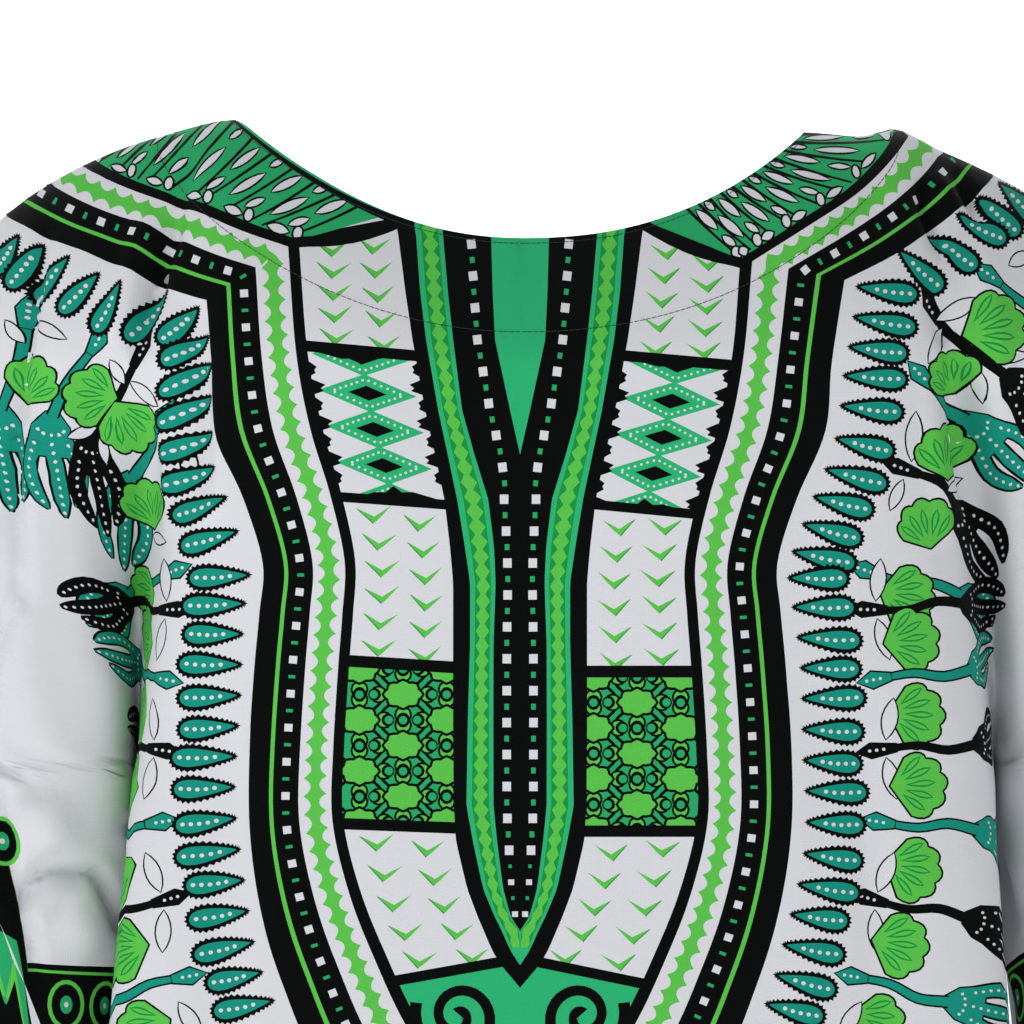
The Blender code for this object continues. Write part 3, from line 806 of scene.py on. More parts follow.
def draw_flowers(art, side):
    art.add("emerald", cell("chevrons_2", "flowers", side))
    top, bottom = line_at("chevrons_2", 60, side), line_at("flowers", 60, side)
    middle = 55.0
    flowers = [np.array((middle + 20.5 * column, top + 14.5 + 24.0 * row + (12.0 if column else 0.0)))
               for column in (-1, 0, 1) for row in range(-1, 4)]
    flowers = [c for c in flowers if top - 6 < c[1] < bottom + 6]
    for c in flowers:
        for way in ((1, 0.75), (-1, 0.75), (1, -0.75), (-1, -0.75)):
            a = c + np.array(way) * (6.5, 6.5)
            b = c + np.array(way) * (10.3, 16.0)
            art.add("black", ribbon(curve((a, 0.5 * (a + b) + (way[0] * 1.6, 0), b), 3), 1.5))
    for c in flowers:
        for away in ((11.5, 0), (-11.5, 0), (0, 9.6), (0, -9.6)):
            away = np.array(away)
            out = away / np.linalg.norm(away)
            art.add("black", oval(c + away, 8.6, 8.6, 0, 12))
            art.add("lime", oval(c + away, 6.4, 6.4, 0, 12))
            art.add("black", oval(c + away + out * 1.9, 6.2, 6.2, 0, 12))
            art.add("emerald", oval(c + away + out * 2.3, 4.0, 4.0, 0, 10))
    for c in flowers:
        art.outlined("lime", blossom(c, 17.5, 13.5), 1.3)


def draw_cells(art, side):
    """White cells between the spear and the border, and what fills them."""
    draw_diamonds(art, side)
    draw_flowers(art, side)
    # green field with a spiral under the last cells
    v = np.linspace(392, 470, 12)
    art.add("emerald_light", np.vstack(([(0, 392)], np.column_stack((inner_half(v) + 2, v)), [(0, 470)])))
    turns = np.linspace(0.0, 3.6 * math.pi, 50)
    for c, size in (((29, 419), 1.0), ((16, 452), 0.45)):
        r = (1.0 + 1.75 * turns) * size
        spiral = np.column_stack((-r * np.sin(turns), -r * np.cos(turns))) + c
        wide = np.interp(np.arange(len(spiral)), (0, 8, 50), (7.0, 4.2, 5.6)) * size
        art.add("black", ribbon(spiral, wide))
    for first, last, rows in (("top", "chevrons_1", 5), ("diamonds", "chevrons_2", 6),
                              ("flowers", "chevrons_3", 5)):
        art.add("white", cell(first, last, side))
        draw_chevrons(art, first, last, rows, side)
    for name, row in CELL_LINES.items():
        v = 0.5 * (row[0] + row[1])
        h = np.linspace(spear_half(v, "outer") - 4, inner_half(v) + 3, 7)
        y = line_at(name, h, side)
        art.add("black", ribbon(np.column_stack((h, y)), row[-1]))


def draw_yoke(art, side, face):
    """Leaves and stems on green between the neckline and the shoulder border."""
    rows = border_rows(side)
    border = rows[rows[:, 1] <= SHOULDER_BORDER[side][-1][1]][:, :2]
    neck_h = np.linspace(54, NECK_HALF / MM, 24)
    neck = np.column_stack((neck_h, -neck_height(face, SIGNS[side] * neck_h * MM) / MM))
    art.add("emerald", np.vstack((neck + (0, -3), [(200, -16), (250, -10)], border)))

    # stems run from the neckline, on the left from the shoulder line as well, down to the border
    start = neck[6:]
    if side == "left":
        crest_h = np.linspace(NECK_HALF / MM, border[0][0] - 6, 14)[1:]
        start = np.vstack((neck[4:], np.column_stack((crest_h, -ridge_height(-crest_h * MM) / MM))))
    along = [run_length(p) for p in (start, border[::-1])]
    bend = 0.85 if side == "left" else 1.35

    def between(t, reach):
        a, b = (np.array([np.interp(t * way[-1], way, p[:, k]) for k in (0, 1)])
                for t, way, p in ((t, along[0], start), (t ** bend, along[1], border[::-1])))
        return a + (b - a) * reach + (0, 3.5 * reach * (1 - reach))

    count = 13
    for k in range(count):
        t = (k + 0.3) / count
        stem = [between(t + 0.02 * math.sin(2.1 * k) * f, f) for f in np.linspace(0.02, 0.97, 7)]
        art.add("black", ribbon(stem, np.linspace(1.5, 1.0, 7)))
    for k in range(count):
        t = (k + 0.80) / count
        for first, last, wide in (((0.05, 0.20, 2.8), (0.30, 0.74, 4.0)) if k % 2 else
                                  ((0.10, 0.46, 3.8), (0.58, 0.80, 3.2))):
            a, b = between(t, first), between(t + 0.01, last)
            if np.linalg.norm(b - a) > 3:
                art.outlined("white", leaf(a, b, wide * (1 - 0.5 * t)), 0.9)
    for k in range(6):
        t = (k + 0.1) / 6.2
        bud, tip = between(t, 0.92), between(min(t + 0.09, 1.0), 0.93)
        art.outlined("white", oval(bud + (0, -1), 5.6, 4.0 - 1.5 * t, 1.3, 10), 1.0)
        art.outlined("white", leaf(bud + (tip - bud) * 0.30, tip, 4.2 - 2 * t), 1.0)
    h = np.linspace(50, SHOULDER_BORDER[side][-1][0] + 3, 9)
    art.add("black", ribbon(np.column_stack((h, line_at("top", h, side) + 3.2 * np.sin(
        np.pi * np.clip((h - 56) / 48, 0, 1)))), 5.0))
    # dark band along the neckline
    share = np.linspace(0, 1, len(neck))[:, None]
    band = 5.6 - 2.6 * share if side == "left" else 1.5 - 0.4 * share
    low = neck + np.hstack((share * 0.7, 1 - share * 0.4)) * band
    art.add("black", np.vstack((low, neck[::-1] + (0, -4))))


def teardrop(long, wide, count=16):
    """Drop with its point at the origin, lying along +u."""
    t = 0.5 - 0.5 * np.cos(np.pi * np.linspace(0.0, 1, count + 1) ** 1.1)
    y = wide / 2 * t ** 0.8 * np.sqrt(1 - t ** 4) / 0.655
    return np.vstack((np.column_stack((long * t, y)), np.column_stack((long * t, -y))[-2:0:-1]))


# Drops round the shoulder border, point then round end, as seen from behind
SHOULDER_DROPS = {
    "left": ((236, 52, 248, 70), (226, 55, 241, 77), (212, 62, 231, 82), (198, 70, 216, 89),
             (187, 75, 200, 98), (167, 77, 185, 102), (153, 85, 169, 103), (148, 99, 168, 112),
             (146, 113, 168, 126), (147, 128, 168, 141), (146, 145, 168, 156), (144, 161, 168, 171),
             (138, 175, 164, 185), (133, 191, 160, 199)),
    "right": ((226, 27, 245, 46), (216, 33, 235, 52), (205, 43, 229, 55), (195, 50, 214, 69),
              (178, 59, 199, 78)),
}


def draw_drop(art, start, end, dark=False):
    start, end = np.asarray(start, float), np.asarray(end, float)
    long = np.linalg.norm(end - start)
    turn = math.atan2(*(end - start)[::-1])
    body = teardrop(long, 10.8)
    dense = np.vstack([body[j] + (body[(j + 1) % len(body)] - body[j]) * f
                       for j in range(len(body)) for f in (0, 0.5)])
    spikes = grow(dense, 0.5)
    spikes[::2] = grow(dense, 1.6)[::2]
    art.add("black", spin(spikes, turn) + start)
    art.add("teal", spin(teardrop(long - 2.2, 8.6, 12) + (1.4, 0), turn) + start)
    for j in range(5):
        spot = oval((long * (0.32 + 0.135 * j), 0.4 * math.sin(j)), 2.2, 2.0, 0, 7)
        art.add("white", spin(spot, turn) + start)


def draw_teardrops(art, side):
    for row in SHOULDER_DROPS[side]:
        draw_drop(art, row[:2], row[2:])
    rows = border_rows(side)
    path = across(rows, 1.0)
    path = path[(path[:, 1] > (207 if side == "left" else 71)) & (path[:, 1] < 500)]
    for k, (p, t) in enumerate(stations_along(path, 14.3, 2.0)):
        n = np.array((t[1], -t[0]))
        turn = 0.5 * math.atan2(n[1], n[0]) + 0.07 + 0.04 * math.sin(k * 1.7)
        start = p + n * (6.5 + 0.8 * math.sin(k * 1.1))
        long = 29.0 + 1.2 * math.sin(k * 2.3)
        draw_drop(art, start, start + long * np.array((math.cos(turn), math.sin(turn))))


def fan_leaf(size, lobes=5):
    """Scalloped fan with its stalk at the origin, opening along +u."""
    t = np.linspace(-1, 1, lobes * 5 + 1)
    r = size * (0.86 + 0.08 * np.abs(np.sin(np.pi * lobes * (t + 1) / 2)) + 0.05 * t - 0.20 * np.abs(t) ** 3)
    arc = np.column_stack((r * np.cos(t * 1.12), r * np.sin(t * 1.12) * 0.82))
    return np.vstack(((0.0, 0.0), arc))


def draw_fan(art, base, turn, size):
    art.outlined("lime", spin(fan_leaf(size), turn) + base, 1.0)
    for lean in (-0.78, -0.40, 0.0, 0.40, 0.78):
        way = np.array((math.cos(lean), math.sin(lean) * 0.86))
        for from_, to, ink, wide in ((0.24, 0.76, "vein", 0.13), (0.32, 0.72, "lime", 0.06)):
            art.add(ink, spin(leaf(way * size * from_, way * size * to, size * wide, 6, 0.6), turn) + base)


def draw_fork(art, base, turn, ink, size=1.0):
    """Palm that opens into long dotted fingers."""
    palm = np.array(((-2, -3.0), (5, -8.5), (13, -10.5), (20, -10.0), (20, 10.0), (13, 10.5), (5, 8.5),
                     (-2, 3.0))) * size
    fingers = []
    for side, bend, long, wide in ((-7.2, -5.0, 34, 7.6), (0.0, 1.5, 38, 7.4), (7.2, 6.0, 32, 7.6)):
        path = curve(((13, side), (13 + long * 0.42, side + bend * 0.8),
                      (13 + long * 0.78, side + bend * 0.4),
                      (13 + long, side - bend * 0.2)), 3) * size
        taper = wide * size * np.interp(np.linspace(0, 1, len(path)), (0, 0.35, 0.65, 0.86, 1),
                                        (0.85, 1.0, 0.86, 0.5, 0.05))
        fingers.append((path, taper))
    for path, taper in fingers:
        art.add("black", spin(ribbon(path, taper + 1.6), turn) + base)
    art.add("black", spin(grow(palm, 0.8), turn) + base)
    if ink != "black":
        for path, taper in fingers:
            art.add(ink, spin(ribbon(path, np.maximum(taper - 0.6, 0.05)), turn) + base)
        art.add(ink, spin(palm, turn) + base)
    for path, taper in fingers:
        for p, _ in stations_along(path, 4.3 * size, 1.0):
            art.add("white", spin(oval(p, 1.9 * size, 1.7 * size, 0, 6), turn) + base)
    for k in range(5):
        lean = -1.1 + 0.55 * k
        p = np.array((5 + 4.5 * math.cos(lean), 6.4 * math.sin(lean))) * size
        art.add("white", spin(oval(p, 1.9 * size, 1.7 * size, 0, 6), turn) + base)


def draw_plant(art, ink, points, end_turn, size=1.0):
    """Dotted head, bending stem and fork."""
    path = curve(points, 4)
    draw_fork(art, path[-1], end_turn, ink, size)
    width = np.linspace(2.6, 4.4, len(path)) if ink == "teal" else np.linspace(1.8, 3.4, len(path))
    art.add("black", ribbon(path, width + 1.7))
    if ink == "teal":
        art.add("teal", ribbon(path, width))
    turn = math.atan2(*(path[1] - path[0])[::-1])
    if ink == "teal":
        head = np.array(((-13.0, 0.0), (-6.0, -3.9), (3, -1.6), (3, 1.6), (-6.0, 3.9)))
    else:
        head = np.array(((-15.0, 0.0), (-8.0, -3.2), (4, -1.4), (4, 1.4), (-8.0, 3.2)))
    art.outlined(ink, spin(head, turn) + path[0], 0.9)
    for j in range(3):
        art.add("white", spin(oval((-8.5 + 3.2 * j, 0.0), 1.7, 1.6, 0, 6), turn) + path[0])


# Plants over the shoulders, as seen from behind: stem points and the fork's turn;
# fans with their stalk's place, turn and size; white leaves from point to point and width
SHOULDER_STEMS = {
    "left": (("teal", ((234, 92), (237, 114), (243, 134)), 1.45),
             ("teal", ((201, 105), (212, 121), (219, 137)), 1.45),
             ("teal", ((168, 141), (174, 152), (185, 166)), 1.15),
             ("black", ((180, 110), (189, 129), (202, 146)), 1.5)),
    "right": (("teal", ((223, 74), (234, 82), (248, 91)), 0.55),
              ("teal", ((191, 121), (200, 131), (211, 140)), 0.65),
              ("black", ((198, 89), (211, 105), (228, 118)), 0.7),
              ("black", ((184, 163), (196, 168), (206, 180)), 0.75)),
}
SHOULDER_FANS = {
    "left": ((233, 131, -2.0, 25), (189, 129, -0.15, 27), (190, 131, 2.05, 27), (178, 190, -1.45, 25)),
    "right": ((209, 99, -0.3, 31), (208, 128, -2.0, 24), (200, 167, -1.57, 28), (193, 199, -1.8, 25)),
}
SHOULDER_LEAVES = {
    "left": ((230, 92, 212, 101, 5), (235, 102, 242, 92, 5), (193, 111, 186, 122, 5), (183, 121, 168, 131, 6),
             (199, 143, 213, 147, 5), (197, 146, 196, 160, 5), (158, 150, 156, 171, 5),
             (180, 193, 168, 196, 5)),
    "right": ((199, 91, 214, 82, 7), (202, 95, 192, 112, 6), (221, 110, 240, 108, 5), (215, 115, 217, 131, 6),
              (186, 135, 184, 158, 7), (230, 66, 240, 60, 6), (174, 181, 180, 167, 5),
              (200, 172, 214, 167, 5)),
}


def draw_botany(art, side):
    """Stems, heads, fan leaves and dotted forks round the outside."""
    for ink, points, turn in SHOULDER_STEMS[side]:
        draw_plant(art, ink, points, turn, 0.95)
    for row in SHOULDER_LEAVES[side]:
        art.outlined("white", leaf(row[:2], row[2:4], row[4], 8), 0.75)
    for h, v, turn, size in SHOULDER_FANS[side]:
        draw_fan(art, (h, v), turn, size)
    path = across(border_rows(side), 1.0)
    path = path[(path[:, 1] > 196) & (path[:, 1] < 470)]
    places = stations_along(path, 31.4, 3.0)
    for k, (p, t) in enumerate(places):
        n = np.array((t[1], -t[0]))
        turn = math.atan2(n[1], n[0])
        ink = "black" if k % 2 else "teal"
        base = p + n * 46.0
        flip = 1 if k % 4 < 2 else -1
        stem = spin(np.array(((0, 0), (14, 1.2 * flip), (28, -1.5 * flip), (42, 1.0 * flip))), turn) + base
        draw_plant(art, ink, stem, turn + 0.12 * flip, 0.85)
        if ink == "black":
            for up in (-1, 1):
                spot = base + t * up * 4.5 - n * 1.0
                art.outlined("white", leaf(spot, spot + n * 4 + t * up * 19.0, 6.8, 8), 0.75)
        if k + 1 < len(places):
            q, tq = places[k + 1]
            away = n + np.array((tq[1], -tq[0]))
            away /= np.linalg.norm(away)
            stalk = 0.5 * (p + q) + away * (56.0 if side == "left" else 47.0)
            draw_fan(art, stalk, math.atan2(away[1], away[0]) + 0.10 * (-1) ** k, 28.0)


# Where the border of the sleeve's hem steps up, u and the height v of its upper edge: on the left
# of the back a fold takes up part of the plain cloth
SLEEVE_STEP = {("back", "left"): ((-396, 312), (-387, 320), (-384, 397))}


def draw_sleeve_band(art, cuff, steps=()):
    """Dark border printed along the sleeve's hem, from the outer end of the cuff to the inner."""
    step = run_length(cuff)
    length = step[-1]
    upper = np.array(((cuff[0, 0], cuff[0, 1] - 120), *steps, (cuff[-1, 0], cuff[-1, 1] - 106)))
    shares = (upper[:, 0] - cuff[0, 0]) / (cuff[-1, 0] - cuff[0, 0])

    def at(s, share):
        s = np.atleast_1d(s).astype(float)
        p = np.column_stack([np.interp(np.clip(s, 0, 1) * length, step, cuff[:, k]) for k in (0, 1)])
        way = (p[:, 0] - cuff[0, 0]) / (cuff[-1, 0] - cuff[0, 0])
        rise = share * (p[:, 1] - np.interp(way, shares, upper[:, 1]))
        return p - np.column_stack((np.zeros(len(p)), rise))

    def strip(ink, low, high):
        s = np.linspace(0, 1, 90)
        art.add(ink, np.vstack((at(s, low), at(s[::-1], high))))

    strip("black", -0.03, 1.0)
    strip("lime", 0.955, 0.97)
    count = int(length / 21)
    for k in range(count):
        c = (k + 0.5) / count
        middle = at(c, 1.0)[0] + (0, 19)
        art.add("lime", oval(middle, 19, 24, 0, 18))
        art.add("black", oval(middle, 15, 20, 0, 16))
        art.add("emerald", oval(middle, 6.5, 9, 0, 10))
        art.add("white", oval(middle, 2.2, 2.8, 0, 8))
    strip("emerald", 0.40, 0.60)
    teeth = int(length / 9.5)
    for k in range(teeth):
        s = np.array((k, k + 0.5, k + 1.0)) / teeth
        for ink, low, high in (("white", 0.62, 0.53), ("lime", 0.42, 0.54), ("black", 0.39, 0.48)):
            art.add(ink, np.vstack((at(s[0], low), at(s[1], high), at(s[2], low))))
    for k in range(count):
        middle = at((k + 0.5) / count, 0.20)[0]
        diamond = np.array(((-9, 0), (0, -12), (9, 0), (0, 12)))
        for ink, size in (("emerald", 1.0), ("black", 0.72), ("lime", 0.34)):
            art.add(ink, diamond * size + middle)


def draw_hem_band(art, left, right):
    """Simple border along the body's hem."""
    v0 = -HEM_Z / MM
    for ink, top, bottom in (("black", -62, 4), ("teal", -44, -20)):
        art.add(ink, np.array(((left - 20, v0 + top), (right + 20, v0 + top),
                               (right + 20, v0 + bottom), (left - 20, v0 + bottom))))
    for x in np.arange(left, right, 14.0):
        art.add("lime", np.array(((x, v0 - 20), (x + 7, v0 - 36), (x + 14, v0 - 20))))
        art.add("black", np.array(((x + 3.2, v0 - 20), (x + 7, v0 - 28.5), (x + 10.8, v0 - 20))))
        art.add("white", np.array(((x, v0 - 44), (x + 7, v0 - 38), (x + 14, v0 - 44))))
        art.add("white", oval((x + 7, v0 - 53), 5.0, 5.0, 0, 8))
        art.add("lime", oval((x + 7, v0 - 10), 7.0, 6.0, 0, 8))


def draw_panel(panel):
    art = Print()
    for step in (lambda side: draw_botany(art, side), lambda side: draw_teardrops(art, side),
                 lambda side: draw_cells(art, side), lambda side: draw_spear(art),
                 lambda side: draw_yoke(art, side, panel.face), lambda side: draw_border(art, side)):
        for side, sign in SIGNS.items():
            art.side = sign
            step(side)
    art.side, art.cut = 1.0, True
    for side in SIGNS:
        draw_sleeve_band(art, panel.cuffs[side], SLEEVE_STEP.get((panel.face, side), ()))
    draw_hem_band(art, -300, 320)
    return art.laid(panel)


# ---------------------------------------------------------------- creases, placed one by one

# From one point to another, with the width and depth of a soft trough (-) or ridge (+), mm.
# Creases wholly above the underarm are given as seen from behind, the others in flat coordinates.
CREASES = {
    "back": (
        # pinches and falls on the left shoulder
        (-163, 46, -180, 106, 5, -8.0), (-174, 42, -192, 100, 7, 5.0), (-153, 14, -165, 56, 5, -3.0),
        (-224, 52, -233, 134, 5, -7.0), (-233, 128, -234, 222, 5, -8.0), (-234, 216, -235, 306, 5, -8.0),
        (-221, 100, -222, 290, 12, 5.5),
        (-154, 84, -150, 172, 8, -8.0), (-172, 96, -166, 190, 8, 4.0), (-144, 120, -142, 180, 6, 2.5),
        (-196, 110, -192, 250, 12, -4.5), (-205, 60, -210, 150, 8, 2.0),
        # the same on the right
        (188, 29, 199, 58, 5, -7.0), (204, 20, 218, 44, 5, -6.5), (196, 24, 208, 44, 5, 3.0),
        (194, 80, 203, 100, 7, -5.0), (203, 98, 211, 180, 8, -8.0), (216, 62, 226, 140, 9, 4.0),
        (192, 120, 199, 190, 6, 3.0), (232, 110, 236, 290, 10, -4.0),
        # long falls of the body
        (-112, 300, -124, 460, 14, 2.2), (-136, 290, -146, 430, 10, -3.4), (126, 280, 138, 450, 14, 2.0),
        (160, 270, 172, 430, 11, -3.2), (20, 430, 34, 640, 20, 2.2), (-40, 470, -52, 700, 18, -2.0),
        (80, 450, 94, 720, 18, -2.4), (-100, 480, -112, 730, 17, 3.0), (160, 470, 176, 730, 18, 3.0),
        # bent cloth above the sleeve hems
        (-382, 314, -386, 358, 4, -5.0), (-386, 352, -379, 408, 4, -5.0), (-386, 368, -370, 354, 5, -9.0),
        (-371, 354, -340, 355, 5, -9.5), (-341, 354, -332, 380, 5, -9.0), (-362, 374, -346, 388, 12, 4.5),
        (-366, 318, -360, 342, 12, 6.0),
        (300, 330, 352, 380, 9, -4.0), (318, 372, 350, 410, 9, 3.5), (380, 330, 392, 440, 10, -3.0),
    ),
    "front": (
        (-150, 60, -184, 130, 9, -4.0), (-170, 50, -190, 120, 8, 3.0), (160, 50, 196, 120, 9, -4.0),
        (178, 44, 204, 110, 8, 3.0), (-90, 130, -120, 260, 16, -2.5), (96, 130, 128, 250, 16, -2.5),
        (-40, 250, -56, 420, 20, 2.2), (60, 240, 72, 430, 18, -2.2), (-120, 270, -132, 440, 14, 2.6),
        (132, 270, 146, 430, 15, 2.6), (10, 440, 22, 690, 20, 2.4), (-70, 470, -84, 720, 18, -2.4),
        (100, 460, 116, 720, 18, -2.6), (-130, 490, -142, 730, 16, 2.8), (-340, 340, -374, 388, 8, -4.5),
        (350, 330, 386, 378, 9, -4.0), (-196, 120, -208, 290, 10, -2.6), (206, 130, 216, 290, 10, -2.6),
    ),
}

# ---------------------------------------------------------------- materials

def linear(r, g, b):
    return tuple(c / 12.92 if c <= 0.04045 else ((c + 0.055) / 1.055) ** 2.4
                 for c in (r / 255, g / 255, b / 255))


INKS = {"white": (205, 206, 211), "black": (5, 6, 6),
        "lime": (86, 184, 72), "emerald": (38, 158, 98), "emerald_light": (42, 170, 110),
        "teal": (20, 138, 120), "vein": (24, 140, 62)}


def cotton(name, colour, wrong_side=False, relief=0.35):
    """Plain-weave cotton: fine threads both ways and a slight unevenness of the yarn."""
    material = bpy.data.materials.new(name)
    material.use_nodes = True
    nodes, links = material.node_tree.nodes, material.node_tree.links
    shader = nodes["Principled BSDF"]
    shader.inputs["Base Color"].default_value = (*colour, 1.0)
    shader.inputs["Specular IOR Level"].default_value = 0.06
    shader.inputs["Sheen Weight"].default_value = 0.01
    shader.inputs["Sheen Roughness"].default_value = 0.5
    flat = nodes.new("ShaderNodeUVMap")
    flat.uv_map = "flat"
    yarns = []
    for direction, scale in (("X", 260.0), ("Y", 280.0)):
        yarn = nodes.new("ShaderNodeTexWave")
        yarn.wave_type = "BANDS"
        yarn.bands_direction = direction
        yarn.inputs["Scale"].default_value = scale
        yarn.inputs["Distortion"].default_value = 1.2
        yarn.inputs["Detail"].default_value = 1.0
        yarns.append(yarn)
    threads = nodes.new("ShaderNodeMath")
    threads.operation = "MAXIMUM"
    slub = nodes.new("ShaderNodeTexNoise")
    slub.inputs["Scale"].default_value = 900.0
    slub.inputs["Detail"].default_value = 3.0
    height = nodes.new("ShaderNodeMath")
    height.operation = "ADD"
    rough = nodes.new("ShaderNodeMapRange")
    rough.inputs["To Min"].default_value = 0.72
    rough.inputs["To Max"].default_value = 0.95
    bump = nodes.new("ShaderNodeBump")
    bump.inputs["Strength"].default_value = relief
    bump.inputs["Distance"].default_value = 0.0002
    for texture in (*yarns, slub):
        links.new(flat.outputs["UV"], texture.inputs["Vector"])
    for k, yarn in enumerate(yarns):
        links.new(yarn.outputs["Fac"], threads.inputs[k])
    links.new(threads.outputs[0], height.inputs[0])
    links.new(slub.outputs["Fac"], height.inputs[1])
    links.new(height.outputs[0], bump.inputs["Height"])
    links.new(slub.outputs["Fac"], rough.inputs["Value"])
    links.new(rough.outputs[0], shader.inputs["Roughness"])
    links.new(bump.outputs["Normal"], shader.inputs["Normal"])
    return material


RIGHT_SIDE, WRONG_SIDE = {}, {}
for ink, rgb in INKS.items():
    colour = linear(*rgb)
    RIGHT_SIDE[ink] = cotton("cotton_" + ink, colour)
    pale = tuple(c * 0.55 + w * 0.45 for c, w in zip(colour, linear(*INKS["white"])))
    WRONG_SIDE[ink] = cotton("cotton_back_of_" + ink, pale)
INK_ORDER = list(INKS)

# ---------------------------------------------------------------- cloth meshes

def border_loop(triangles, count):
    """Vertices round the free edge, in order."""
    directed = np.vstack((triangles[:, (0, 1)], triangles[:, (1, 2)], triangles[:, (2, 0)]))
    there = directed[:, 0] * count + directed[:, 1]
    back = directed[:, 1] * count + directed[:, 0]
    free = directed[~np.isin(there, back)]
    follow = {int(p): int(q) for p, q in free}
    loop = [int(free[0, 0])]
    while follow[loop[-1]] != loop[0] and len(loop) <= len(free):
        loop.append(follow[loop[-1]])
    return loop


def cloth_mesh(name, outer, inner):
    """Right side, wrong side and rim. Each side is points, normals, flat points, triangles, inks."""
    count = len(outer[0])
    kinds = len(INK_ORDER)
    loop = border_loop(outer[3], count)
    far = border_loop(inner[3], len(inner[0]))[::-1]
    start = int(np.argmin(((inner[0][far] - outer[0][loop[0]]) ** 2).sum(1)))
    far = far[start:] + far[:start]
    # walk both free edges together, stepping on the one that lags
    places = [np.vstack((points[edge], points[edge[:1]]))
              for points, edge in ((outer[0], loop), (inner[0], far))]
    near_way, far_way = (way / way[-1] for way in map(run_length, places))
    rim, i, j = [], 0, 0
    while i < len(loop) or j < len(far):
        a, b = loop[i % len(loop)], count + far[j % len(far)]
        if j == len(far) or (i < len(loop) and near_way[i + 1] <= far_way[j + 1]):
            rim.append((loop[(i + 1) % len(loop)], a, b))
            i += 1
        else:
            rim.append((a, b, count + far[(j + 1) % len(far)]))
            j += 1
    faces = np.vstack((outer[3], inner[3] + count, np.array(rim)))
    slots = np.concatenate((outer[4], inner[4] + kinds, np.full(len(rim), kinds)))
    mesh = bpy.data.meshes.new(name)
    mesh.vertices.add(count + len(inner[0]))
    mesh.vertices.foreach_set("co", np.vstack((outer[0], inner[0])).astype(np.float32).ravel())
    mesh.loops.add(faces.size)
    mesh.loops.foreach_set("vertex_index", faces.astype(np.int32).ravel())
    mesh.polygons.add(len(faces))
    mesh.polygons.foreach_set("loop_start", np.arange(0, faces.size, 3, dtype=np.int32))
    for table in (RIGHT_SIDE, WRONG_SIDE):
        for ink in INK_ORDER:
            mesh.materials.append(table[ink])
    mesh.polygons.foreach_set("material_index", slots.astype(np.int32))
    mesh.polygons.foreach_set("use_smooth", np.ones(len(faces), bool))
    mesh.update(calc_edges=True)
    uv = mesh.uv_layers.new(name="flat")
    both = np.vstack((outer[2], inner[2])) * MM
    uv.data.foreach_set("uv", both[faces.ravel()].astype(np.float32).ravel())
    mesh.normals_split_custom_set_from_vertices(np.vstack((outer[1], -inner[1])).astype(np.float32))
    piece = bpy.data.objects.new(name, mesh)
    bpy.context.collection.objects.link(piece)
    return piece


def paint(centres, shapes):
    """Index of the last shape that holds each point, or -1."""
    order = np.argsort(centres[:, 1])
    u, v = centres[order, 0], centres[order, 1]
    found = np.full(len(centres), -1)
    for number, shape in enumerate(shapes):
        low, high = np.searchsorted(v, (shape[:, 1].min(), shape[:, 1].max()))
        if low == high:
            continue
        inside = np.zeros(high - low, bool)
        after = np.roll(shape, -1, 0)
        starts = np.searchsorted(v, np.minimum(shape[:, 1], after[:, 1]))
        stops = np.searchsorted(v, np.maximum(shape[:, 1], after[:, 1]))
        for p, q, i, j in zip(shape, after, starts, stops):
            if i < j:
                cross = p[0] + (v[i:j] - p[1]) * ((q[0] - p[0]) / (q[1] - p[1]))
                inside[i - low:j - low] ^= u[i:j] < cross
        found[low:high][inside] = number
    back = np.empty(len(centres), int)
    back[order] = found
    return back


def triangulate(outline, shapes, extra):
    """Triangles over the cut, with every shape's outline among their edges."""
    vertices = [tuple(p) for p in outline]
    edges = [(k, (k + 1) % len(outline)) for k in range(len(outline))]
    for shape in shapes:
        start = len(vertices)
        vertices += [tuple(p) for p in shape]
        edges += [(start + k, start + (k + 1) % len(shape)) for k in range(len(shape))]
    vertices += extra
    flat, _, faces, _, _, _ = delaunay_2d_cdt([Vector(v) for v in vertices], edges, [], 0, 0.02, False)
    flat = np.array([tuple(v) for v in flat])
    faces = np.array(faces)
    centres = flat[faces].mean(axis=1)
    keep = paint(centres, [outline]) == 0
    faces, centres = faces[keep], centres[keep]
    used, faces = np.unique(faces, return_inverse=True)
    return flat[used], faces.reshape(-1, 3), centres


def face_outwards(points, turned, triangles, way=1.0):
    """The same triangles, all turned over if they face the wrong way."""
    a, b, c = (points[triangles[:, k]] for k in range(3))
    facing = (np.cross(b - a, c - a) * turned[triangles[:, 0]]).sum() * way
    return triangles if facing > 0 else triangles[:, ::-1]


# Extra mesh points, mm: rows under the shoulder line and their pitch, rows over a crease as shares
# of its width and their pitch, and the turn of a section, in radians, that gets a point
RIDGE_DEPTHS, RIDGE_PITCH = (0.5, 1.3, 2.6, 4.4, 7.0, 10.0, 14.0), 3.5
CREASE_ROWS, CREASE_PITCH = (-1.4, -0.7, 0.0, 0.7, 1.4), 7.0
SECTION_TURN = 0.09


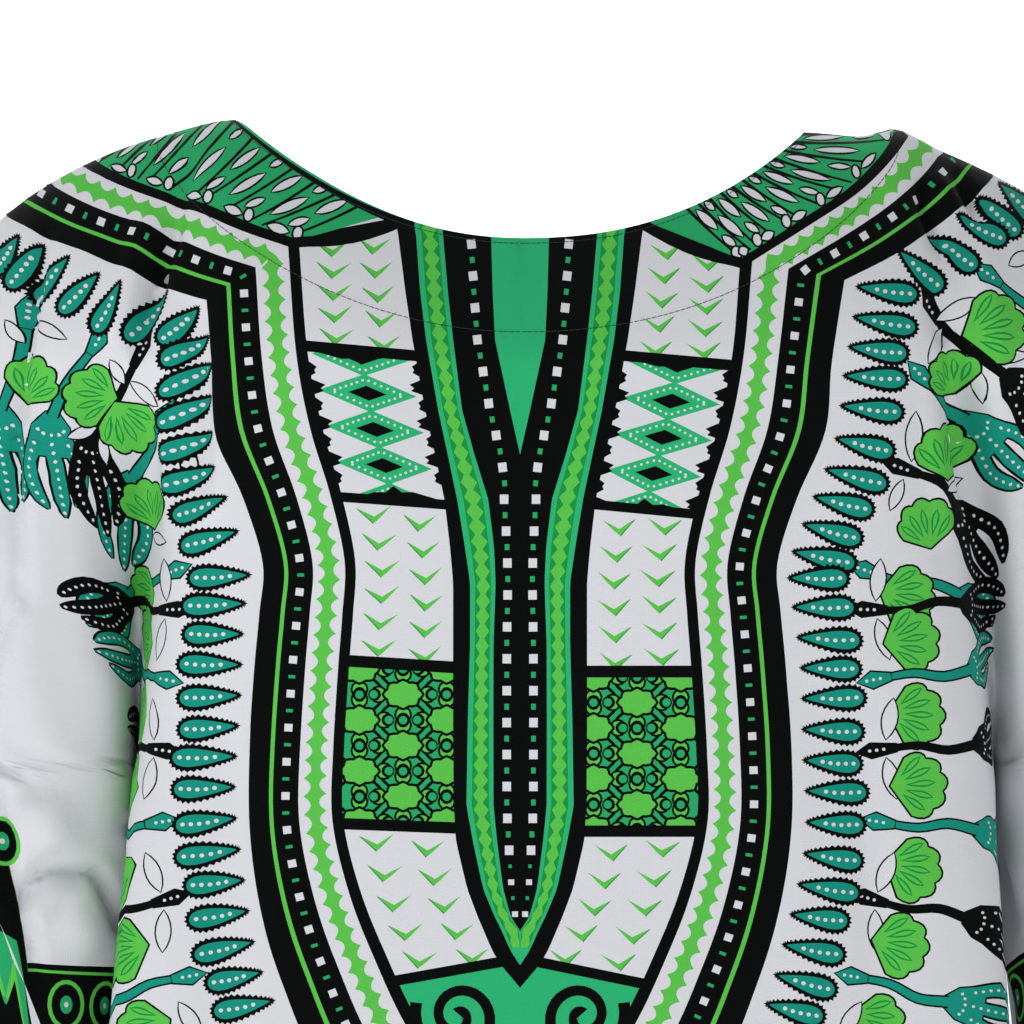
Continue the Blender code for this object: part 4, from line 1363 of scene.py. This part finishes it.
def grid_points(panel, outline, pitch):
    """Even points over the cut, closer under the shoulder line and along the creases."""
    low, high = outline.min(0), outline.max(0)
    points = []
    for j, v in enumerate(np.arange(low[1] + 3, high[1], pitch)):
        for u in np.arange(low[0] + 3 + (j % 2) * pitch / 2, high[0], pitch):
            points.append((u + 0.7 * math.sin(0.9 * v + 0.31 * u), v + 0.7 * math.sin(0.37 * v + 1.3 * u)))
    for side in SIGNS:
        for depth in RIDGE_DEPTHS:
            for p, _ in stations_along(panel.ridge_line(side), RIDGE_PITCH, 1.0):
                points.append((p[0] * (1 - depth * 0.0006), p[1] + depth))
    for u0, v0, u1, v1, width, _ in panel.creases:
        a, b = np.array((u0, v0), float), np.array((u1, v1), float)
        n = np.array((-(b - a)[1], (b - a)[0])) / np.linalg.norm(b - a)
        for t in np.arange(0, 1, CREASE_PITCH / np.linalg.norm(b - a)):
            for off in CREASE_ROWS:
                points.append(tuple(a + (b - a) * t + n * off * width))
    for rows in (panel.top[::3], panel.body, *panel.sleeve.values()):
        for z, u, x, y in rows:
            turn = np.unwrap(np.arctan2(np.diff(y), np.diff(x)))
            points += [(p / MM, -z / MM) for p in u[1:-1][np.abs(np.diff(turn)) > SECTION_TURN]]
    return points


# Mesh pitch of the two sides, mm, and the box in mm2 that a shape fills to show on the wrong side
RIGHT_PITCH, WRONG_PITCH = 6.5, 8.5
BIG_SHAPE = 5000.0


def build_cloth(face):
    panel = Panel(face)
    outline = panel.outline()
    art = draw_panel(panel)
    shapes = [shape for _, shape in art]
    inks = np.array([INK_ORDER.index(ink) for ink, _ in art] + [INK_ORDER.index("white")])
    flat, triangles, centres = triangulate(outline, shapes, grid_points(panel, outline, RIGHT_PITCH))
    ink = inks[paint(centres, shapes)]
    points, turned = panel.place(flat)
    triangles = face_outwards(points, turned, triangles)
    # the wrong side has the large shapes only
    loop = border_loop(triangles, len(flat))
    large = [k for k, shape in enumerate(shapes) if np.ptp(shape[:, 0]) * np.ptp(shape[:, 1]) > BIG_SHAPE]
    back_shapes = [shapes[k] for k in large]
    back_flat, back_triangles, back_centres = triangulate(flat[loop], back_shapes,
                                                         grid_points(panel, outline, WRONG_PITCH))
    back_ink = inks[[large[k] if k >= 0 else -1 for k in paint(back_centres, back_shapes)]]
    back_points, back_turned = panel.place(back_flat, CLOTH)
    back_faces = face_outwards(back_points, back_turned, back_triangles, -1.0)
    piece = cloth_mesh(face + "_cloth", (points, turned, flat, triangles, ink),
                       (back_points, back_turned, back_flat, back_faces, back_ink))
    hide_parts(face)
    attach(piece, "root")
    return panel


panels = {face: build_cloth(face) for face in ("back", "front")}

# ---------------------------------------------------------------- neck facings and stitches

FACING_WIDTH = 47.0
FACING_INSET = 0.0013
# The facing ends this share short of the neck points
FACING_SHORT = 0.002


def neck_band(face, s, r):
    """Flat points r millimetres from the neckline."""
    x = NECK_HALF / MM * np.sin(np.pi / 2 * s)
    v = -neck_height(face, x * MM) / MM
    lean = np.radians(78) * s
    return np.column_stack((x + r * np.sin(lean), v + r * np.cos(lean)))


def build_facing(face):
    panel = panels[face]
    s = np.linspace(-1, 1, 97)
    rows = (0.0, 1.5, 5, 10, 16, 23, 31, 39, FACING_WIDTH)
    # the facing rolls out over the neckline, most of all beside the left neck point
    roll = np.interp(s, (-1, -0.93, -0.8, -0.5, -0.2, 0.3, 1), (0.2, 2.0, 3.2, 2.6, 1.0, 0.5, 0.3))
    held = s * (1 - FACING_SHORT)
    flat = np.vstack([neck_band(face, held, 0.0) - np.column_stack((0 * roll, roll))]
                     + [neck_band(face, held, r) for r in rows])
    top = -ridge_height(np.clip(flat[:, 0], -200, 200) * MM) / MM
    inside = np.maximum(flat[:, 1], top + 0.4)
    inside[:2 * len(s)] = flat[:2 * len(s), 1]
    flat = np.column_stack((flat[:, 0], inside))
    points, turned = panel.place(flat, FACING_INSET)
    index = np.arange(len(flat)).reshape(-1, len(s))
    a, b, c, d = index[:-1, :-1], index[1:, :-1], index[1:, 1:], index[:-1, 1:]
    triangles = np.vstack((np.stack((a, b, c), -1).reshape(-1, 3), np.stack((a, c, d), -1).reshape(-1, 3)))
    triangles = face_outwards(points, turned, triangles)
    ink = np.full(len(triangles), INK_ORDER.index("lime" if face == "front" else "emerald_light"))
    name = "neck_facing_" + face
    inside = points - turned * CLOTH, turned, flat, triangles[:, ::-1], ink
    piece = cloth_mesh(name + "_cloth", (points, turned, flat, triangles, ink), inside)
    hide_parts(name)
    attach(piece, "root")


for face in ("back", "front"):
    build_facing(face)


def build_stitches(name, face, path, pitch, colour, width=0.32):
    """A row of short raised threads along a flat path."""
    panel = panels[face]
    marks = stations_along(path, pitch, 1.0)
    centre = np.array([p for p, _ in marks])
    way = np.array([t for _, t in marks])
    side = np.column_stack((-way[:, 1], way[:, 0]))
    rings = []
    for along, high in ((-0.42, 0.02), (-0.28, 0.22), (0.28, 0.22), (0.42, 0.02)):
        for off, lift in ((-1, 0.0), (0, 1.0), (1, 0.0)):
            p, n = panel.place(centre + way * along * pitch + side * off * width / 2)
            rings.append(p + n * (high * (0.4 + 0.8 * lift)) * MM)
    verts = np.stack(rings, 1).reshape(-1, 3)
    corners = [12 * k + 3 * j + i for k in range(len(marks)) for j in range(3) for i in range(2)]
    faces = [(a, a + 1, a + 4, a + 3) for a in corners]
    mesh = bpy.data.meshes.new(name)
    mesh.from_pydata([tuple(v) for v in verts], [], faces)
    mesh.uv_layers.new(name="flat")
    mesh.materials.append(cotton(name + "_thread", colour, relief=0.2))
    piece = bpy.data.objects.new(name, mesh)
    bpy.context.collection.objects.link(piece)
    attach(piece, "root")


around = np.linspace(-0.995, 0.995, 220)
DARK_THREAD = linear(46, 60, 58)
for face in ("back", "front"):
    build_stitches("neck_stitch_" + face, face, neck_band(face, around, 2.6), 2.6, DARK_THREAD)
    build_stitches("facing_stitch_" + face, face, neck_band(face, around * 0.985, FACING_WIDTH - 1.5), 2.8,
                   DARK_THREAD)

# ---------------------------------------------------------------- floor, light and camera

VIEW_CENTRE = Vector((VIEW_X, -VIEW_PLANE, VIEW_Z))
VIEW_WIDTH = 0.4813

camera = bpy.data.objects.new("camera", bpy.data.cameras.new("camera"))
bpy.context.collection.objects.link(camera)
camera.location = VIEW_CENTRE + Vector((0, -VIEW_DISTANCE, 0))
camera.rotation_euler = (math.pi / 2, 0, 0)
camera.data.sensor_width = 36
camera.data.lens = 36 * VIEW_DISTANCE / VIEW_WIDTH
camera.data.clip_end = 30
bpy.context.scene.camera = camera

floor_mesh = bpy.data.meshes.new("floor")
size, back_wall, cove, below_hem = 11.0, 9.0, 0.6, 0.06
sweep = [(-size, 0.0)]
for k in range(13):
    a = k / 12 * math.pi / 2
    sweep.append((back_wall - cove + cove * math.sin(a), cove - cove * math.cos(a)))
sweep.append((back_wall, size))
floor_verts = [(x, y, z + HEM_Z - below_hem) for y, z in sweep for x in (-size, size)]
floor_faces = [(2 * k, 2 * k + 1, 2 * k + 3, 2 * k + 2) for k in range(len(sweep) - 1)]
floor_mesh.from_pydata(floor_verts, [], floor_faces)
for polygon in floor_mesh.polygons:
    polygon.use_smooth = True
floor = bpy.data.objects.new("floor", floor_mesh)
bpy.context.collection.objects.link(floor)
paper = bpy.data.materials.new("floor_paper")
paper.use_nodes = True
paper_shader = paper.node_tree.nodes["Principled BSDF"]
paper_shader.inputs["Base Color"].default_value = (0.93, 0.93, 0.93, 1)
paper_shader.inputs["Roughness"].default_value = 0.9
paper_shader.inputs["Emission Color"].default_value = (1.0, 1.0, 1.0, 1)
paper_shader.inputs["Emission Strength"].default_value = 0.8
floor_mesh.materials.append(paper)


def area_light(name, place, target, size, power):
    lamp = bpy.data.lights.new(name, "AREA")
    lamp.shape = "SQUARE"
    lamp.size = size
    lamp.energy = power
    lamp_object = bpy.data.objects.new(name, lamp)
    lamp_object.location = place
    way = Vector(target) - Vector(place)
    lamp_object.rotation_euler = way.to_track_quat("-Z", "Y").to_euler()
    bpy.context.collection.objects.link(lamp_object)


area_light("key", (-2.1, -2.0, 1.7), (0, 0, -0.2), 0.9, 42)
area_light("fill", (1.9, -1.8, 0.6), (0, 0, -0.3), 2.0, 5)
area_light("top", (0.0, 0.4, 2.2), (0, 0, -0.2), 1.6, 12)
area_light("rear", (0.6, 2.6, 1.2), (0, 0, -0.3), 2.0, 12)
world = bpy.data.worlds.new("studio")
world.use_nodes = True
world.node_tree.nodes["Background"].inputs["Color"].default_value = (1, 1, 1, 1)
world.node_tree.nodes["Background"].inputs["Strength"].default_value = 0.30
bpy.context.scene.world = world
bpy.context.scene.view_settings.view_transform = "Standard"
